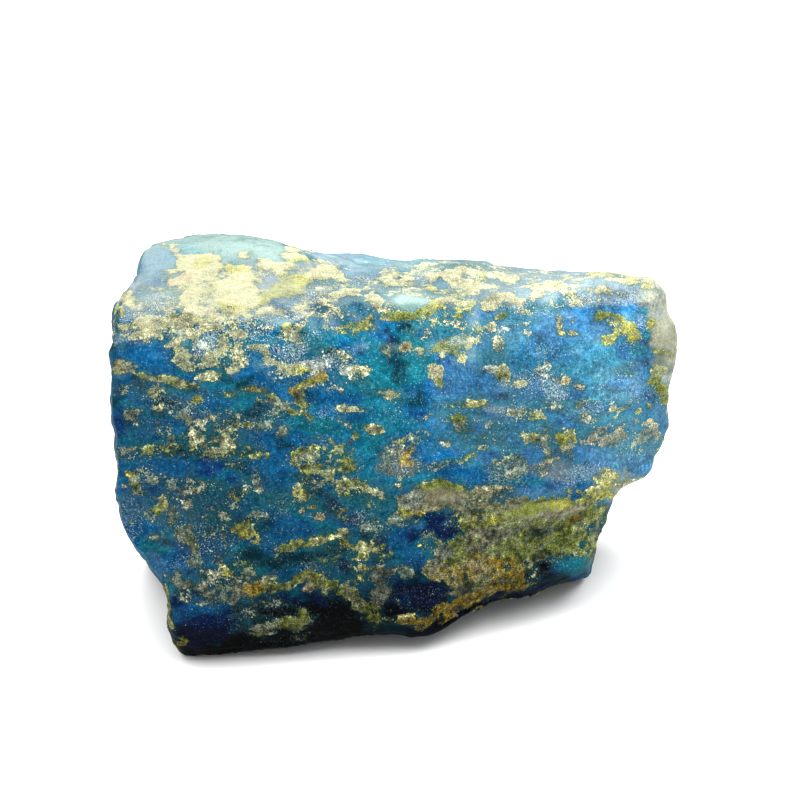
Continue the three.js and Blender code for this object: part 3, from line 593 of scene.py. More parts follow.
# The broad side, middle.
MIDDLE = (
    Patch(Tint.LAKE, (-11.0, 9.2), (1.4, 0.5)),
    Patch(Tint.ROYAL, (-10.5, 5.4), (2.4, 1.3), -20),
    Patch(Tint.ROYAL, (-6.3, 5.0), (1.7, 1.2)),
    Patch(Tint.DEEP_TEAL, (-7.6, 4.5), (0.9, 0.45)),
    Patch(Tint.ROYAL, (-3.8, 4.3), (1.2, 0.8)),
    Patch(Tint.TEAL, (-1.2, 7.2), (1.2, 2.4), 0, 0.8),
    Patch(Tint.DEEP_TEAL, (0.2, 7.2), (1.0, 1.9), 0, 1.0),
    Patch(Tint.ROYAL, (-3.6, 2.4), (1.5, 0.5)),
    Patch(Tint.LAKE, (-0.8, 2.8), (1.5, 1.6)),
    Patch(Tint.TEAL, (-6.5, 1.5), (1.6, 0.9)),
    Patch(Tint.ROYAL, (-11.7, 0.8), (1.6, 0.6)),
    Patch(Tint.NAVY, (-3.8, 0.2), (0.6, 0.2)),
    Patch(Tint.DEEP_TEAL, (-11.2, 2.8), (1.9, 1.2), -10, 0.8),
    Seam(
        Tint.PEARL,
        ((-12.4, 8.4), (-11.6, 8.0), (-10.8, 7.4), (-10.0, 6.95), (-8.8, 6.7), (-7.7, 6.9), (-6.8, 7.0)),
        0.45,
        1.1,
    ),
    Patch(Tint.BUTTER, (-8.0, 6.75), (0.8, 0.38), 15, 1.2),
    Patch(Tint.WHITE, (-5.9, 7.4), (1.6, 0.7), 0, 0.84),
    Patch(Tint.PEARL, (-4.4, 7.7), (1.1, 0.5), -10, 0.85),
    Patch(Tint.WHITE, (-4.1, 6.8), (1.4, 0.5), -28, 0.87),
    Patch(Tint.PEARL, (-2.8, 6.5), (0.7, 0.6), 0, 0.85),
    Patch(Tint.PEARL, (-9.6, 8.8), (0.3, 0.7), 0, 0.8),
    Seam(Tint.OLIVE, ((-6.2, 6.1), (-7.0, 5.7), (-7.9, 5.5), (-8.6, 5.0), (-9.1, 4.8)), 0.42, 1.2),
    Patch(Tint.OCHRE, (-6.6, 6.1), (0.6, 0.28), 20, 1.2),
    Patch(Tint.ROYAL, (-6.4, 5.0), (0.8, 0.5), 0, 1.2),
    Patch(Tint.BUTTER, (-8.0, 5.4), (0.5, 0.3), 0, 1.1),
    Patch(Tint.OCHRE, (-9.1, 4.85), (0.3, 0.2)),
    Patch(Tint.MOSS, (-8.4, 4.1), (0.5, 0.6), -30, 1.2),
    Patch(Tint.OLIVE, (-8.0, 3.7), (0.6, 0.35), -10, 1.1),
    Patch(Tint.OLIVE, (-12.4, 4.9), (0.9, 0.4)),
    Patch(Tint.OCHRE, (-12.4, 4.9), (0.65, 0.32), 0, 1.2),
    Seam(
        Tint.OLIVE,
        ((-12.0, 5.2), (-11.1, 4.7), (-10.6, 4.1), (-9.8, 3.4), (-9.0, 3.0), (-8.0, 2.7), (-7.4, 2.2)),
        0.26,
    ),
    Patch(Tint.SAGE, (-11.7, 3.8), (0.6, 0.35), 0, 0.9),
    Patch(Tint.TAN, (-10.3, 3.5), (0.8, 0.5), -30, 0.9),
    Patch(Tint.SAGE, (-11.2, 2.8), (1.8, 0.9), -20, 0.6),
    Patch(Tint.OLIVE, (-12.8, 1.9), (0.6, 0.3)),
    Patch(Tint.SAGE, (-11.3, 1.7), (0.7, 0.3)),
    Patch(Tint.TAN, (-9.7, 1.2), (0.6, 0.5), 0, 0.9),
    Patch(Tint.SAGE, (-4.4, 5.0), (0.6, 0.3), -15),
    Patch(Tint.PEARL, (-4.0, 3.3), (0.75, 0.3), -10),
    Patch(Tint.PEARL, (-2.8, 3.1), (0.5, 0.2), -10),
    Patch(Tint.PEARL, (-1.0, 4.6), (1.3, 0.25), -4),
    Patch(Tint.TAN, (-0.6, 8.6), (0.35, 0.4)),
    Patch(Tint.PEARL, (-0.5, 8.0), (0.15, 0.12)),
    Patch(Tint.PEARL, (1.15, 8.45), (0.6, 0.5), 0, 1.1),
    Patch(Tint.RUST, (1.1, 8.4), (0.22, 0.2)),
    Patch(Tint.PEARL, (2.5, 8.1), (0.4, 0.28)),
    Patch(Tint.OLIVE, (-1.75, 1.35), (0.65, 0.42), -25, 1.1),
    Patch(Tint.RUST, (-1.7, 1.4), (0.25, 0.12), -20),
    Patch(Tint.TAN, (-4.2, 1.7), (0.7, 0.28), -50),
    Patch(Tint.OLIVE, (-3.4, 0.9), (0.4, 0.35)),
    Patch(Tint.SAGE, (5.4, 9.0), (1.1, 0.7), 0, 1.0),
    Patch(Tint.OLIVE, (5.2, 8.3), (1.1, 0.45)),
    Patch(Tint.PEARL, (6.3, 8.6), (0.4, 0.7)),
    Patch(Tint.PEARL, (4.4, 7.8), (0.45, 0.28)),
    Patch(Tint.BUTTER, (5.8, 7.75), (0.4, 0.22)),
    Patch(Tint.PEARL, (3.7, 6.5), (0.5, 0.75), -12, 1.1),
    Patch(Tint.PEACH, (3.8, 6.5), (0.28, 0.45), -12),
    Patch(Tint.OLIVE, (3.9, 5.4), (0.28, 0.45)),
    Seam(Tint.WHITE, ((7.0, 6.5), (8.0, 6.6), (9.2, 6.6)), 0.17),
    Patch(Tint.PEARL, (10.0, 6.1), (0.6, 0.75), 0, 1.1),
    Patch(Tint.MOSS, (9.5, 6.1), (0.42, 0.3)),
    Patch(Tint.OLIVE, (9.6, 6.4), (0.45, 0.25)),
    Patch(Tint.PEARL, (11.2, 5.5), (0.4, 0.4), 0, 0.9),
    Patch(Tint.WHITE, (12.6, 6.3), (0.7, 0.13), 42),
    Patch(Tint.WHITE, (13.9, 6.1), (0.8, 0.18), 5, 0.85),
    Patch(Tint.LAVENDER, (9.9, 5.4), (0.5, 0.3)),
    Patch(Tint.ROYAL, (5.9, 6.5), (1.8, 0.9)),
    Patch(Tint.ROYAL, (5.3, 5.0), (2.4, 0.8)),
    Patch(Tint.ROYAL, (8.2, 5.3), (1.6, 1.1)),
    Patch(Tint.TEAL, (8.1, 7.7), (1.2, 0.8)),
    Patch(Tint.TEAL, (2.3, 7.6), (1.2, 1.4)),
    Patch(Tint.NAVY, (1.6, 4.8), (0.9, 0.7), 0, 0.6),
    Patch(Tint.DEEP_TEAL, (1.4, 3.9), (1.2, 0.4)),
    Patch(Tint.ROYAL, (11.7, 4.4), (1.4, 0.45)),
    Patch(Tint.NAVY, (9.4, 4.4), (0.35, 0.4)),
    Patch(Tint.CYAN, (10.6, 8.8), (1.6, 1.0), 0, 0.4),
    Patch(Tint.OLIVE, (6.2, 3.6), (1.3, 0.26), 0, 0.9),
    Patch(Tint.BUTTER, (7.4, 3.6), (0.7, 0.24), -5, 0.95),
    Patch(Tint.DEEP_TEAL, (3.5, 3.35), (1.6, 0.3), 0, 0.9),
    Patch(Tint.GREY, (9.6, 3.15), (1.6, 0.4), 0, 0.8),
    Patch(Tint.TAN, (11.5, 2.6), (2.0, 0.5), 0, 0.84),
    Patch(Tint.OLIVE, (5.3, 2.4), (0.8, 0.5), 0, 1.1),
    Patch(Tint.TAN, (5.8, 1.4), (0.7, 0.5), 0, 1.0),
    Patch(Tint.TAN, (5.9, 0.8), (0.4, 0.3)),
    Patch(Tint.PEARL, (2.6, 2.35), (0.7, 0.18), 15, 0.9),
    Patch(Tint.BUTTER, (0.9, 0.5), (0.55, 0.38), 0, 1.1),
    Patch(Tint.AZURE, (3.7, 1.6), (1.0, 0.9), 0, 0.7),
    Patch(Tint.ROYAL, (7.5, 1.6), (1.0, 0.5)),
    Patch(Tint.DEEP_TEAL, (7.3, 2.6), (0.8, 0.3)),
    Patch(Tint.SAGE, (9.0, 1.7), (0.8, 0.5), 0, 0.8),
    Patch(Tint.SAGE, (9.9, 1.3), (0.6, 0.3), 0, 0.8),
    Patch(Tint.TAN, (7.3, 0.5), (0.5, 0.4), 0, 0.9),
    Patch(Tint.OLIVE, (12.5, 0.6), (1.1, 0.5), 0, 0.95),
    Patch(Tint.MOSS, (12.7, 0.7), (0.4, 0.25), 0, 0.8),
    Patch(Tint.PEARL, (11.5, 0.8), (0.5, 0.28), 0, 0.9),
    Patch(Tint.TAN, (13.4, 1.3), (0.8, 0.5), 0, 0.9),
    Patch(Tint.OLIVE, (12.2, 2.4), (0.9, 0.28), 0, 0.9),
    Patch(Tint.FROST, (-9.4, 8.2), (2.0, 0.9)),
    Patch(Tint.FROST, (-5.0, 7.6), (2.4, 1.0)),
    Patch(Tint.FROST, (-6.2, 2.8), (0.9, 0.6), 0, 0.8),
    Patch(Tint.FROST, (4.6, 8.2), (1.2, 0.9), 0, 0.6),
    Patch(Tint.FROST, (13.6, 5.2), (1.0, 1.2), 0, 0.8),
    Patch(Tint.FROST, (11.0, 5.6), (1.4, 1.0), 0, 0.6),
    Patch(Tint.FROST, (9.4, 3.2), (1.6, 0.4), 0, 0.7),
)
# The broad side, right, down to the step in its end.
RIGHT = (
    Patch(Tint.ROYAL, (12.4, 5.4), (0.8, 0.5)),
    Patch(Tint.AZURE, (19.6, 5.6), (0.7, 0.5)),
    Patch(Tint.ROYAL, (15.6, 4.4), (1.0, 0.5)),
    Patch(Tint.TEAL, (15.0, 3.7), (0.9, 0.4)),
    Patch(Tint.TEAL, (18.1, 4.2), (1.4, 0.7)),
    Patch(Tint.CYAN, (20.3, 4.1), (1.0, 0.4), 0, 0.8),
    Patch(Tint.NAVY, (22.0, 4.3), (1.0, 0.5), 25, 0.8),
    Patch(Tint.ROYAL, (21.4, 3.6), (0.6, 0.35)),
    Patch(Tint.SLATE, (23.5, 2.6), (0.8, 1.0)),
    Patch(Tint.SLATE, (21.2, 5.4), (1.0, 0.5), 0, 0.8),
    Patch(Tint.CYAN, (19.4, 2.2), (1.9, 0.5), 10, 0.9),
    Patch(Tint.ROYAL, (15.2, 1.9), (1.2, 0.6), 10, 1.2),
    Patch(Tint.AZURE, (13.6, 2.6), (0.6, 0.4)),
    Patch(Tint.TEAL, (16.6, 0.6), (0.7, 0.4)),
    Patch(Tint.DEEP_TEAL, (21.2, -1.0), (2.1, 1.0), 0, 0.9),
    Patch(Tint.DEEP_TEAL, (20.4, -2.0), (1.6, 0.6)),
    Patch(Tint.ROYAL, (12.5, -1.0), (1.0, 1.2), 0, 1.2),
    Patch(Tint.NAVY, (14.5, -1.0), (0.45, 0.6)),
    Patch(Tint.ROYAL, (16.8, -0.6), (1.3, 0.6), 10, 1.2),
    Patch(Tint.ROYAL, (18.2, -1.6), (0.9, 0.7)),
    Patch(Tint.GREY, (13.9, -2.4), (2.2, 0.9), 0, 0.85),
    Patch(Tint.SLATE, (17.0, -2.9), (2.0, 0.7), 0, 0.9),
    Patch(Tint.SLATE, (12.9, -4.1), (2.5, 0.6), 3, 1.1),
    Patch(Tint.ROYAL, (12.8, -3.6), (1.4, 0.3), 5, 0.7),
    Patch(Tint.AZURE, (18.8, 1.5), (1.0, 0.3), 15, 0.6),
    Seam(Tint.BLACK, ((22.1, 0.1), (22.6, 0.3), (23.2, 0.6)), 0.1),
    Seam(Tint.BLACK, ((18.2, -0.8), (18.6, -0.55), (19.0, -0.5)), 0.08),
    Patch(Tint.PEACH, (15.1, 5.6), (1.0, 0.38), 0, 0.85),
    Patch(Tint.PEACH, (16.1, 5.2), (0.5, 0.4), -30, 0.95),
    Patch(Tint.SAGE, (16.3, 3.5), (0.28, 0.4)),
    Patch(Tint.SAGE, (14.1, 3.4), (0.6, 0.3), 0, 0.85),
    Patch(Tint.OLIVE, (23.4, 5.0), (0.6, 0.45), 0, 1.1),
    Patch(Tint.OLIVE, (23.8, 4.2), (0.35, 0.5)),
    Patch(Tint.OLIVE, (22.5, 3.4), (0.65, 0.28), 32),
    Patch(Tint.CREAM, (19.0, 2.9), (1.0, 0.26), 5),
    Patch(Tint.OLIVE, (20.2, 3.3), (0.5, 0.2), 20),
    Patch(Tint.BUTTER, (21.1, 2.8), (0.55, 0.26)),
    Patch(Tint.TAN, (16.8, 2.3), (0.7, 0.4), 0, 0.85),
    Patch(Tint.BUTTER, (14.8, 0.5), (1.5, 0.75), 0, 1.2),
    Patch(Tint.OLIVE, (15.6, 0.75), (0.7, 0.4)),
    Patch(Tint.TAN, (18.7, 0.5), (1.6, 0.6), 12, 0.95),
    Patch(Tint.PEACH, (19.9, 1.4), (0.5, 0.22), 35),
    Patch(Tint.PEACH, (17.6, 0.3), (0.45, 0.2)),
    Patch(Tint.TAN, (22.3, 1.1), (1.1, 0.6), 10, 1.0),
    Patch(Tint.CREAM, (22.3, 1.7), (0.7, 0.2), 10),
    Patch(Tint.TAN, (13.3, 0.5), (0.6, 0.6), 0, 0.9),
    Patch(Tint.TAN, (15.3, -0.5), (0.35, 0.65)),
    Patch(Tint.TAN, (13.8, -0.7), (0.24, 0.8)),
    Patch(Tint.PEACH, (22.3, -2.9), (1.1, 0.22), 22),
    Patch(Tint.BUTTER, (19.2, -3.1), (1.6, 0.6), 8, 0.9),
    Patch(Tint.CREAM, (20.3, -3.4), (0.7, 0.28), 15),
    Patch(Tint.SAGE, (10.4, -2.0), (1.6, 1.1), 0, 0.83),
    Patch(Tint.SAGE, (11.4, -1.9), (0.5, 0.7)),
    Patch(Tint.TAN, (13.2, -2.5), (0.7, 0.5), 40, 0.9),
    Patch(Tint.CREAM, (14.5, -1.8), (0.8, 0.25), 0, 0.8),
    Patch(Tint.FROST, (14.0, 4.6), (1.2, 1.0)),
    Patch(Tint.FROST, (17.6, 3.2), (1.6, 0.8), 0, 0.6),
    Patch(Tint.FROST, (21.6, 4.6), (1.6, 0.8), 0, 0.5),
    Patch(Tint.FROST, (16.8, -2.8), (2.6, 0.9), 0, 0.8),
    Patch(Tint.FROST, (10.0, -2.6), (2.0, 1.4), 0, 0.8),
)
# The broad side, lower left.
LOWER_LEFT = (
    Patch(Tint.SLATE, (-23.0, -6.0), (1.5, 2.2), 10, 0.8),
    Patch(Tint.VIOLET, (-16.5, -1.9), (1.7, 0.9), 0, 1.0),
    Patch(Tint.ROYAL, (-20.8, -1.8), (1.8, 0.8)),
    Patch(Tint.TEAL, (-15.1, -6.4), (1.1, 0.9)),
    Patch(Tint.TEAL, (-16.8, -3.3), (2.0, 0.7), 0, 0.8),
    Patch(Tint.NAVY, (-18.5, -5.3), (0.5, 0.5)),
    Patch(Tint.ROYAL, (-20.9, -7.0), (1.1, 0.8)),
    Patch(Tint.VIOLET, (-18.8, -9.4), (1.1, 0.9), 0, 0.9),
    Patch(Tint.ROYAL, (-13.4, -5.5), (0.8, 0.4)),
    Patch(Tint.ROYAL, (-9.7, -7.3), (3.4, 1.05), 0, 1.2),
    Patch(Tint.DEEP_TEAL, (-12.4, -9.4), (1.6, 0.6)),
    Patch(Tint.ROYAL, (-10.8, -2.5), (2.0, 1.6), 0, 0.8),
    Patch(Tint.NAVY, (-7.3, -2.9), (0.8, 0.3), -10),
    Patch(Tint.ROYAL, (-4.6, -2.8), (0.9, 0.35)),
    Patch(Tint.LAKE, (-2.4, -1.5), (1.4, 1.9), 0, 1.0),
    Patch(Tint.TEAL, (-2.4, -5.0), (1.6, 0.5)),
    Patch(Tint.NAVY, (-5.5, -5.4), (1.0, 0.9), 0, 0.9),
    Patch(Tint.NAVY, (-4.3, -6.5), (1.0, 0.5)),
    Patch(Tint.ROYAL, (-0.2, -7.8), (0.8, 0.3)),
    Patch(Tint.DEEP_TEAL, (-6.7, -9.4), (2.3, 0.55), 5, 1.1),
    Patch(Tint.DEEP_TEAL, (-2.6, -8.4), (0.7, 0.7)),
    Patch(Tint.NAVY, (-1.2, -8.9), (0.7, 0.6)),
    Patch(Tint.VIOLET, (-20.9, -3.6), (1.0, 0.8), 0, 0.6),
    Patch(Tint.TAN, (-23.0, -0.9), (1.1, 0.4), 0, 0.8),
    Patch(Tint.OLIVE, (-20.7, -0.8), (0.8, 0.25)),
    Seam(
        Tint.OLIVE,
        ((-19.8, -0.6), (-17.8, -0.3), (-16.0, -0.4), (-14.0, -0.7), (-11.3, -0.8)),
        0.42,
        0.8,
    ),
    Seam(Tint.BLACK, ((-20.0, -0.9), (-17.4, -0.6), (-14.6, -0.5), (-12.0, -0.9)), 0.22, 0.8),
    Patch(Tint.PEARL, (-15.9, -0.4), (0.9, 0.35), 0, 0.95),
    Patch(Tint.BUTTER, (-23.1, -2.4), (0.7, 0.38), -18, 1.1),
    Patch(Tint.TAN, (-22.8, -3.5), (0.4, 0.6), 20, 1.1),
    Patch(Tint.OLIVE, (-22.7, -3.7), (0.3, 0.25)),
    Patch(Tint.TAN, (-22.0, -4.2), (0.5, 0.25), -30),
    Patch(Tint.SAGE, (-21.4, -4.7), (0.5, 0.2), -30),
    Patch(Tint.OLIVE, (-21.0, -5.5), (0.65, 0.5), 0, 1.0),
    Patch(Tint.BUTTER, (-20.4, -5.0), (0.22, 0.5)),
    Patch(Tint.TAN, (-19.5, -6.5), (0.6, 1.0), 10, 0.95),
    Patch(Tint.TAN, (-18.5, -7.9), (0.6, 0.6), -30, 0.95),
    Patch(Tint.OLIVE, (-17.6, -8.6), (0.45, 0.6), -10),
    Patch(Tint.SAGE, (-21.3, -3.2), (0.35, 0.35)),
    Patch(Tint.SAGE, (-19.7, -3.3), (0.3, 0.55)),
    Patch(Tint.PEACH, (-20.8, -8.0), (0.45, 0.25)),
    Patch(Tint.TAN, (-18.1, -2.2), (0.3, 0.5)),
    Patch(Tint.PEARL, (-14.1, -1.9), (0.8, 0.38), -28, 1.1),
    Patch(Tint.MOSS, (-14.2, -4.2), (0.65, 0.4)),
    Patch(Tint.RUST, (-14.1, -4.1), (0.3, 0.2)),
    Seam(Tint.BUTTER, ((-14.8, -4.5), (-14.1, -4.85), (-13.5, -4.6), (-13.3, -4.2)), 0.16),
    Patch(Tint.OLIVE, (-13.1, -6.9), (0.38, 0.85), 0, 1.2),
    Patch(Tint.OLIVE, (-13.6, -7.4), (0.5, 0.45), 0, 1.1),
    Patch(Tint.BUTTER, (-13.1, -7.9), (0.7, 0.3), -10, 1.1),
    Patch(Tint.BUTTER, (-12.3, -8.3), (0.6, 0.18), -15),
    Seam(Tint.SAGE, ((-13.0, -6.2), (-12.0, -6.15), (-11.3, -6.4)), 0.2),
    Patch(Tint.SAGE, (-12.2, -3.3), (0.4, 0.6), 20, 0.9),
    Patch(Tint.OLIVE, (-7.9, -0.7), (1.0, 0.6)),
    Patch(Tint.SAGE, (-6.6, -1.5), (1.4, 0.8), 0, 0.9),
    Patch(Tint.PEARL, (-7.0, -1.2), (0.8, 0.3), 0, 0.9),
    Patch(Tint.OLIVE, (-7.2, -2.1), (0.7, 0.35), -15),
    Patch(Tint.OLIVE, (-5.9, -2.6), (0.6, 0.45)),
    Patch(Tint.OLIVE, (-4.3, -1.9), (0.6, 0.5), 0, 0.95),
    Patch(Tint.OLIVE, (-5.2, -0.4), (0.45, 0.45)),
    Seam(
        Tint.PEARL,
        (
            (-8.4, -4.0),
            (-7.3, -3.5),
            (-6.0, -3.2),
            (-5.0, -3.6),
            (-4.0, -3.3),
            (-3.0, -3.7),
            (-2.0, -4.1),
            (-1.0, -4.5),
        ),
        0.36,
        0.95,
    ),
    Patch(Tint.OLIVE, (-3.7, -3.5), (0.9, 0.25), -5),
    Patch(Tint.MOSS, (-4.3, -3.8), (0.5, 0.15), 0, 0.9),
    Patch(Tint.BUTTER, (-7.7, -4.5), (0.65, 0.5), 0, 1.1),
    Patch(Tint.MOSS, (-7.6, -4.5), (0.2, 0.2)),
    Patch(Tint.TAN, (-7.9, -5.5), (0.28, 0.45)),
    Patch(Tint.OLIVE, (-6.9, -5.0), (0.22, 0.7), -10),
    Patch(Tint.PEACH, (-6.4, -6.2), (0.35, 0.45), 10),
    Patch(Tint.TAN, (-4.6, -5.6), (0.7, 0.25), 0, 0.95),
    Patch(Tint.SAGE, (-2.1, -7.0), (0.9, 0.8), 0, 0.85),
    Patch(Tint.SAGE, (-1.2, -7.8), (0.6, 0.45), 0, 0.9),
    Seam(
        Tint.OLIVE,
        ((-9.8, -9.2), (-8.5, -8.75), (-7.0, -8.45), (-5.8, -8.1), (-5.0, -7.8), (-4.2, -7.7)),
        0.32,
        1.1,
    ),
    Patch(Tint.OLIVE, (-4.6, -8.4), (1.1, 0.55), -10, 1.2),
    Patch(Tint.BUTTER, (-4.6, -8.7), (0.8, 0.25), -5, 1.1),
    Patch(Tint.RUST, (-3.9, -7.85), (0.4, 0.15), -20),
    Patch(Tint.MOSS, (-4.6, -8.3), (0.5, 0.1), 20),
    Patch(Tint.OLIVE, (-3.5, -9.0), (0.6, 0.45), -30, 1.1),
    Patch(Tint.OLIVE, (-2.8, -9.7), (0.4, 0.6)),
    Patch(Tint.PEARL, (-10.2, -9.2), (0.5, 0.3), -30, 0.9),
    Patch(Tint.FROST, (-17.4, -5.0), (2.8, 1.8), 0, 0.45),
    Patch(Tint.FROST, (-16.6, -7.4), (2.4, 1.2), 0, 0.5),
    Patch(Tint.FROST, (-15.4, -8.4), (1.8, 0.9), 0, 0.5),
    Patch(Tint.FROST, (-23.0, -6.4), (1.4, 2.0), 0, 0.5),
    Patch(Tint.FROST, (-9.6, -5.4), (1.2, 0.8), 0, 0.7),
    Patch(Tint.FROST, (-3.4, -6.5), (1.2, 0.7), 0, 0.8),
)
# The broad side, lower middle, and the grey-olive field at its right.
LOWER_MIDDLE = (
    Patch(Tint.GREY, (0.4, -1.6), (1.6, 1.2), 0, 0.9),
    Patch(Tint.CYAN, (1.2, -2.8), (0.8, 0.4), 0, 0.8),
    Patch(Tint.AZURE, (4.0, -0.7), (2.2, 0.8), 0, 0.9),
    Patch(Tint.ROYAL, (6.0, -2.6), (1.8, 0.9)),
    Patch(Tint.ROYAL, (8.2, -1.1), (1.4, 0.6), -10),
    Patch(Tint.ROYAL, (7.2, -3.4), (0.8, 0.8)),
    Patch(Tint.ASH, (3.9, -4.4), (2.7, 1.15), -6, 1.3),
    Patch(Tint.ASH, (1.4, -5.0), (1.0, 0.9), 0, 1.1),
    Seam(Tint.OLIVE, ((1.6, -3.9), (2.8, -3.4), (4.2, -3.4), (5.6, -3.8), (6.6, -4.3)), 0.22, 1.2),
    Patch(Tint.VIOLET, (11.8, -2.9), (0.6, 0.4)),
    Patch(Tint.NAVY, (3.5, -6.5), (1.2, 0.5)),
    Patch(Tint.NAVY, (4.3, -7.2), (1.7, 1.3), 0, 1.15),
    Patch(Tint.BLACK, (5.7, -7.4), (0.35, 0.9), 0, 0.8),
    Patch(Tint.NAVY, (1.8, -7.9), (0.7, 0.5)),
    Patch(Tint.ROYAL, (2.0, -10.0), (1.35, 0.95), -10, 1.2),
    Patch(Tint.ASH, (10.0, -5.6), (1.6, 0.6), 15, 1.2),
    Patch(Tint.ASH, (13.2, -5.9), (3.6, 0.8), 6, 1.2),
    Patch(Tint.ASH, (9.0, -7.9), (2.6, 0.7), 5, 1.1),
    Patch(Tint.ASH, (7.5, -9.0), (1.8, 0.6), 0, 1.0),
    Patch(Tint.TAN, (0.2, -0.9), (1.6, 0.9), 0, 0.85),
    Patch(Tint.OCHRE, (1.6, -0.5), (0.6, 0.45), 0, 1.1),
    Patch(Tint.OCHRE, (1.0, -1.1), (0.5, 0.4), -20, 1.0),
    Patch(Tint.SAGE, (-0.8, -1.4), (0.4, 1.0), 0, 0.95),
    Patch(Tint.TAN, (0.4, -3.4), (0.7, 0.5), 0, 0.85),
    Patch(Tint.SAGE, (4.9, -1.6), (1.4, 0.35), 14, 0.95),
    Patch(Tint.OLIVE, (3.0, -3.55), (1.8, 0.25), 4, 0.85),
    Patch(Tint.OLIVE, (6.8, -0.9), (0.6, 0.18), 5, 0.9),
    Patch(Tint.CREAM, (7.6, -0.1), (0.6, 0.3), 0, 0.9),
    Patch(Tint.TAN, (1.6, -4.4), (0.9, 0.8), 0, 0.7),
    Patch(Tint.TAN, (0.4, -6.1), (1.2, 0.5), 10, 1.0),
    Patch(Tint.SAGE, (-0.5, -6.7), (0.7, 0.4), 20, 1.0),
    Patch(Tint.BUTTER, (0.7, -6.1), (0.45, 0.25), -10),
    Patch(Tint.OCHRE, (2.0, -6.1), (0.32, 0.22)),
    Patch(Tint.SAGE, (1.3, -6.8), (0.6, 0.3), 0, 0.9),
    Patch(Tint.OCHRE, (9.1, -4.35), (0.35, 0.38)),
    Patch(Tint.BUTTER, (9.6, -4.8), (0.6, 0.16), -10),
    Seam(Tint.MOSS, ((9.0, -4.95), (11.0, -4.85), (13.0, -5.0), (15.0, -4.8), (17.5, -4.0)), 0.12),
    Patch(Tint.OLIVE, (7.2, -5.7), (1.4, 0.5), 5, 1.0),
    Patch(Tint.MOSS, (7.0, -5.75), (0.6, 0.2), 10, 0.9),
    Patch(Tint.OLIVE, (8.5, -5.2), (0.9, 0.3), 0, 0.95),
    Patch(Tint.BUTTER, (14.1, -5.4), (1.3, 0.3), 8, 0.9),
    Patch(Tint.OLIVE, (12.1, -5.8), (1.4, 0.5), 8, 0.8),
    Patch(Tint.BUTTER, (7.8, -6.8), (1.9, 0.42), 3, 0.95),
    Patch(Tint.OLIVE, (9.9, -6.9), (0.8, 0.35), 0, 0.9),
    Patch(Tint.OLIVE, (11.6, -8.4), (1.4, 0.7), 0, 0.9),
    Patch(Tint.BUTTER, (14.2, -8.7), (1.4, 0.45), 18, 1.0),
    Patch(Tint.MOSS, (13.2, -7.6), (1.2, 0.35), 12, 0.8),
    Patch(Tint.MOSS, (13.0, -9.7), (1.2, 0.3), 10, 0.9),
    Patch(Tint.OLIVE, (15.4, -8.9), (1.2, 0.4), 30),
    Patch(Tint.OLIVE, (15.8, -7.5), (1.2, 0.4), 20, 1.1),
    Patch(Tint.OLIVE, (17.5, -6.2), (0.8, 0.8), 0, 0.95),
    Patch(Tint.SAGE, (3.1, -7.85), (0.4, 0.3)),
    Patch(Tint.TAN, (4.2, -9.1), (1.0, 0.6), 0, 1.0),
    Patch(Tint.BUTTER, (2.8, -8.8), (0.45, 0.25)),
    Patch(Tint.FROST, (0.6, -1.6), (2.0, 1.4), 0, 0.5),
)
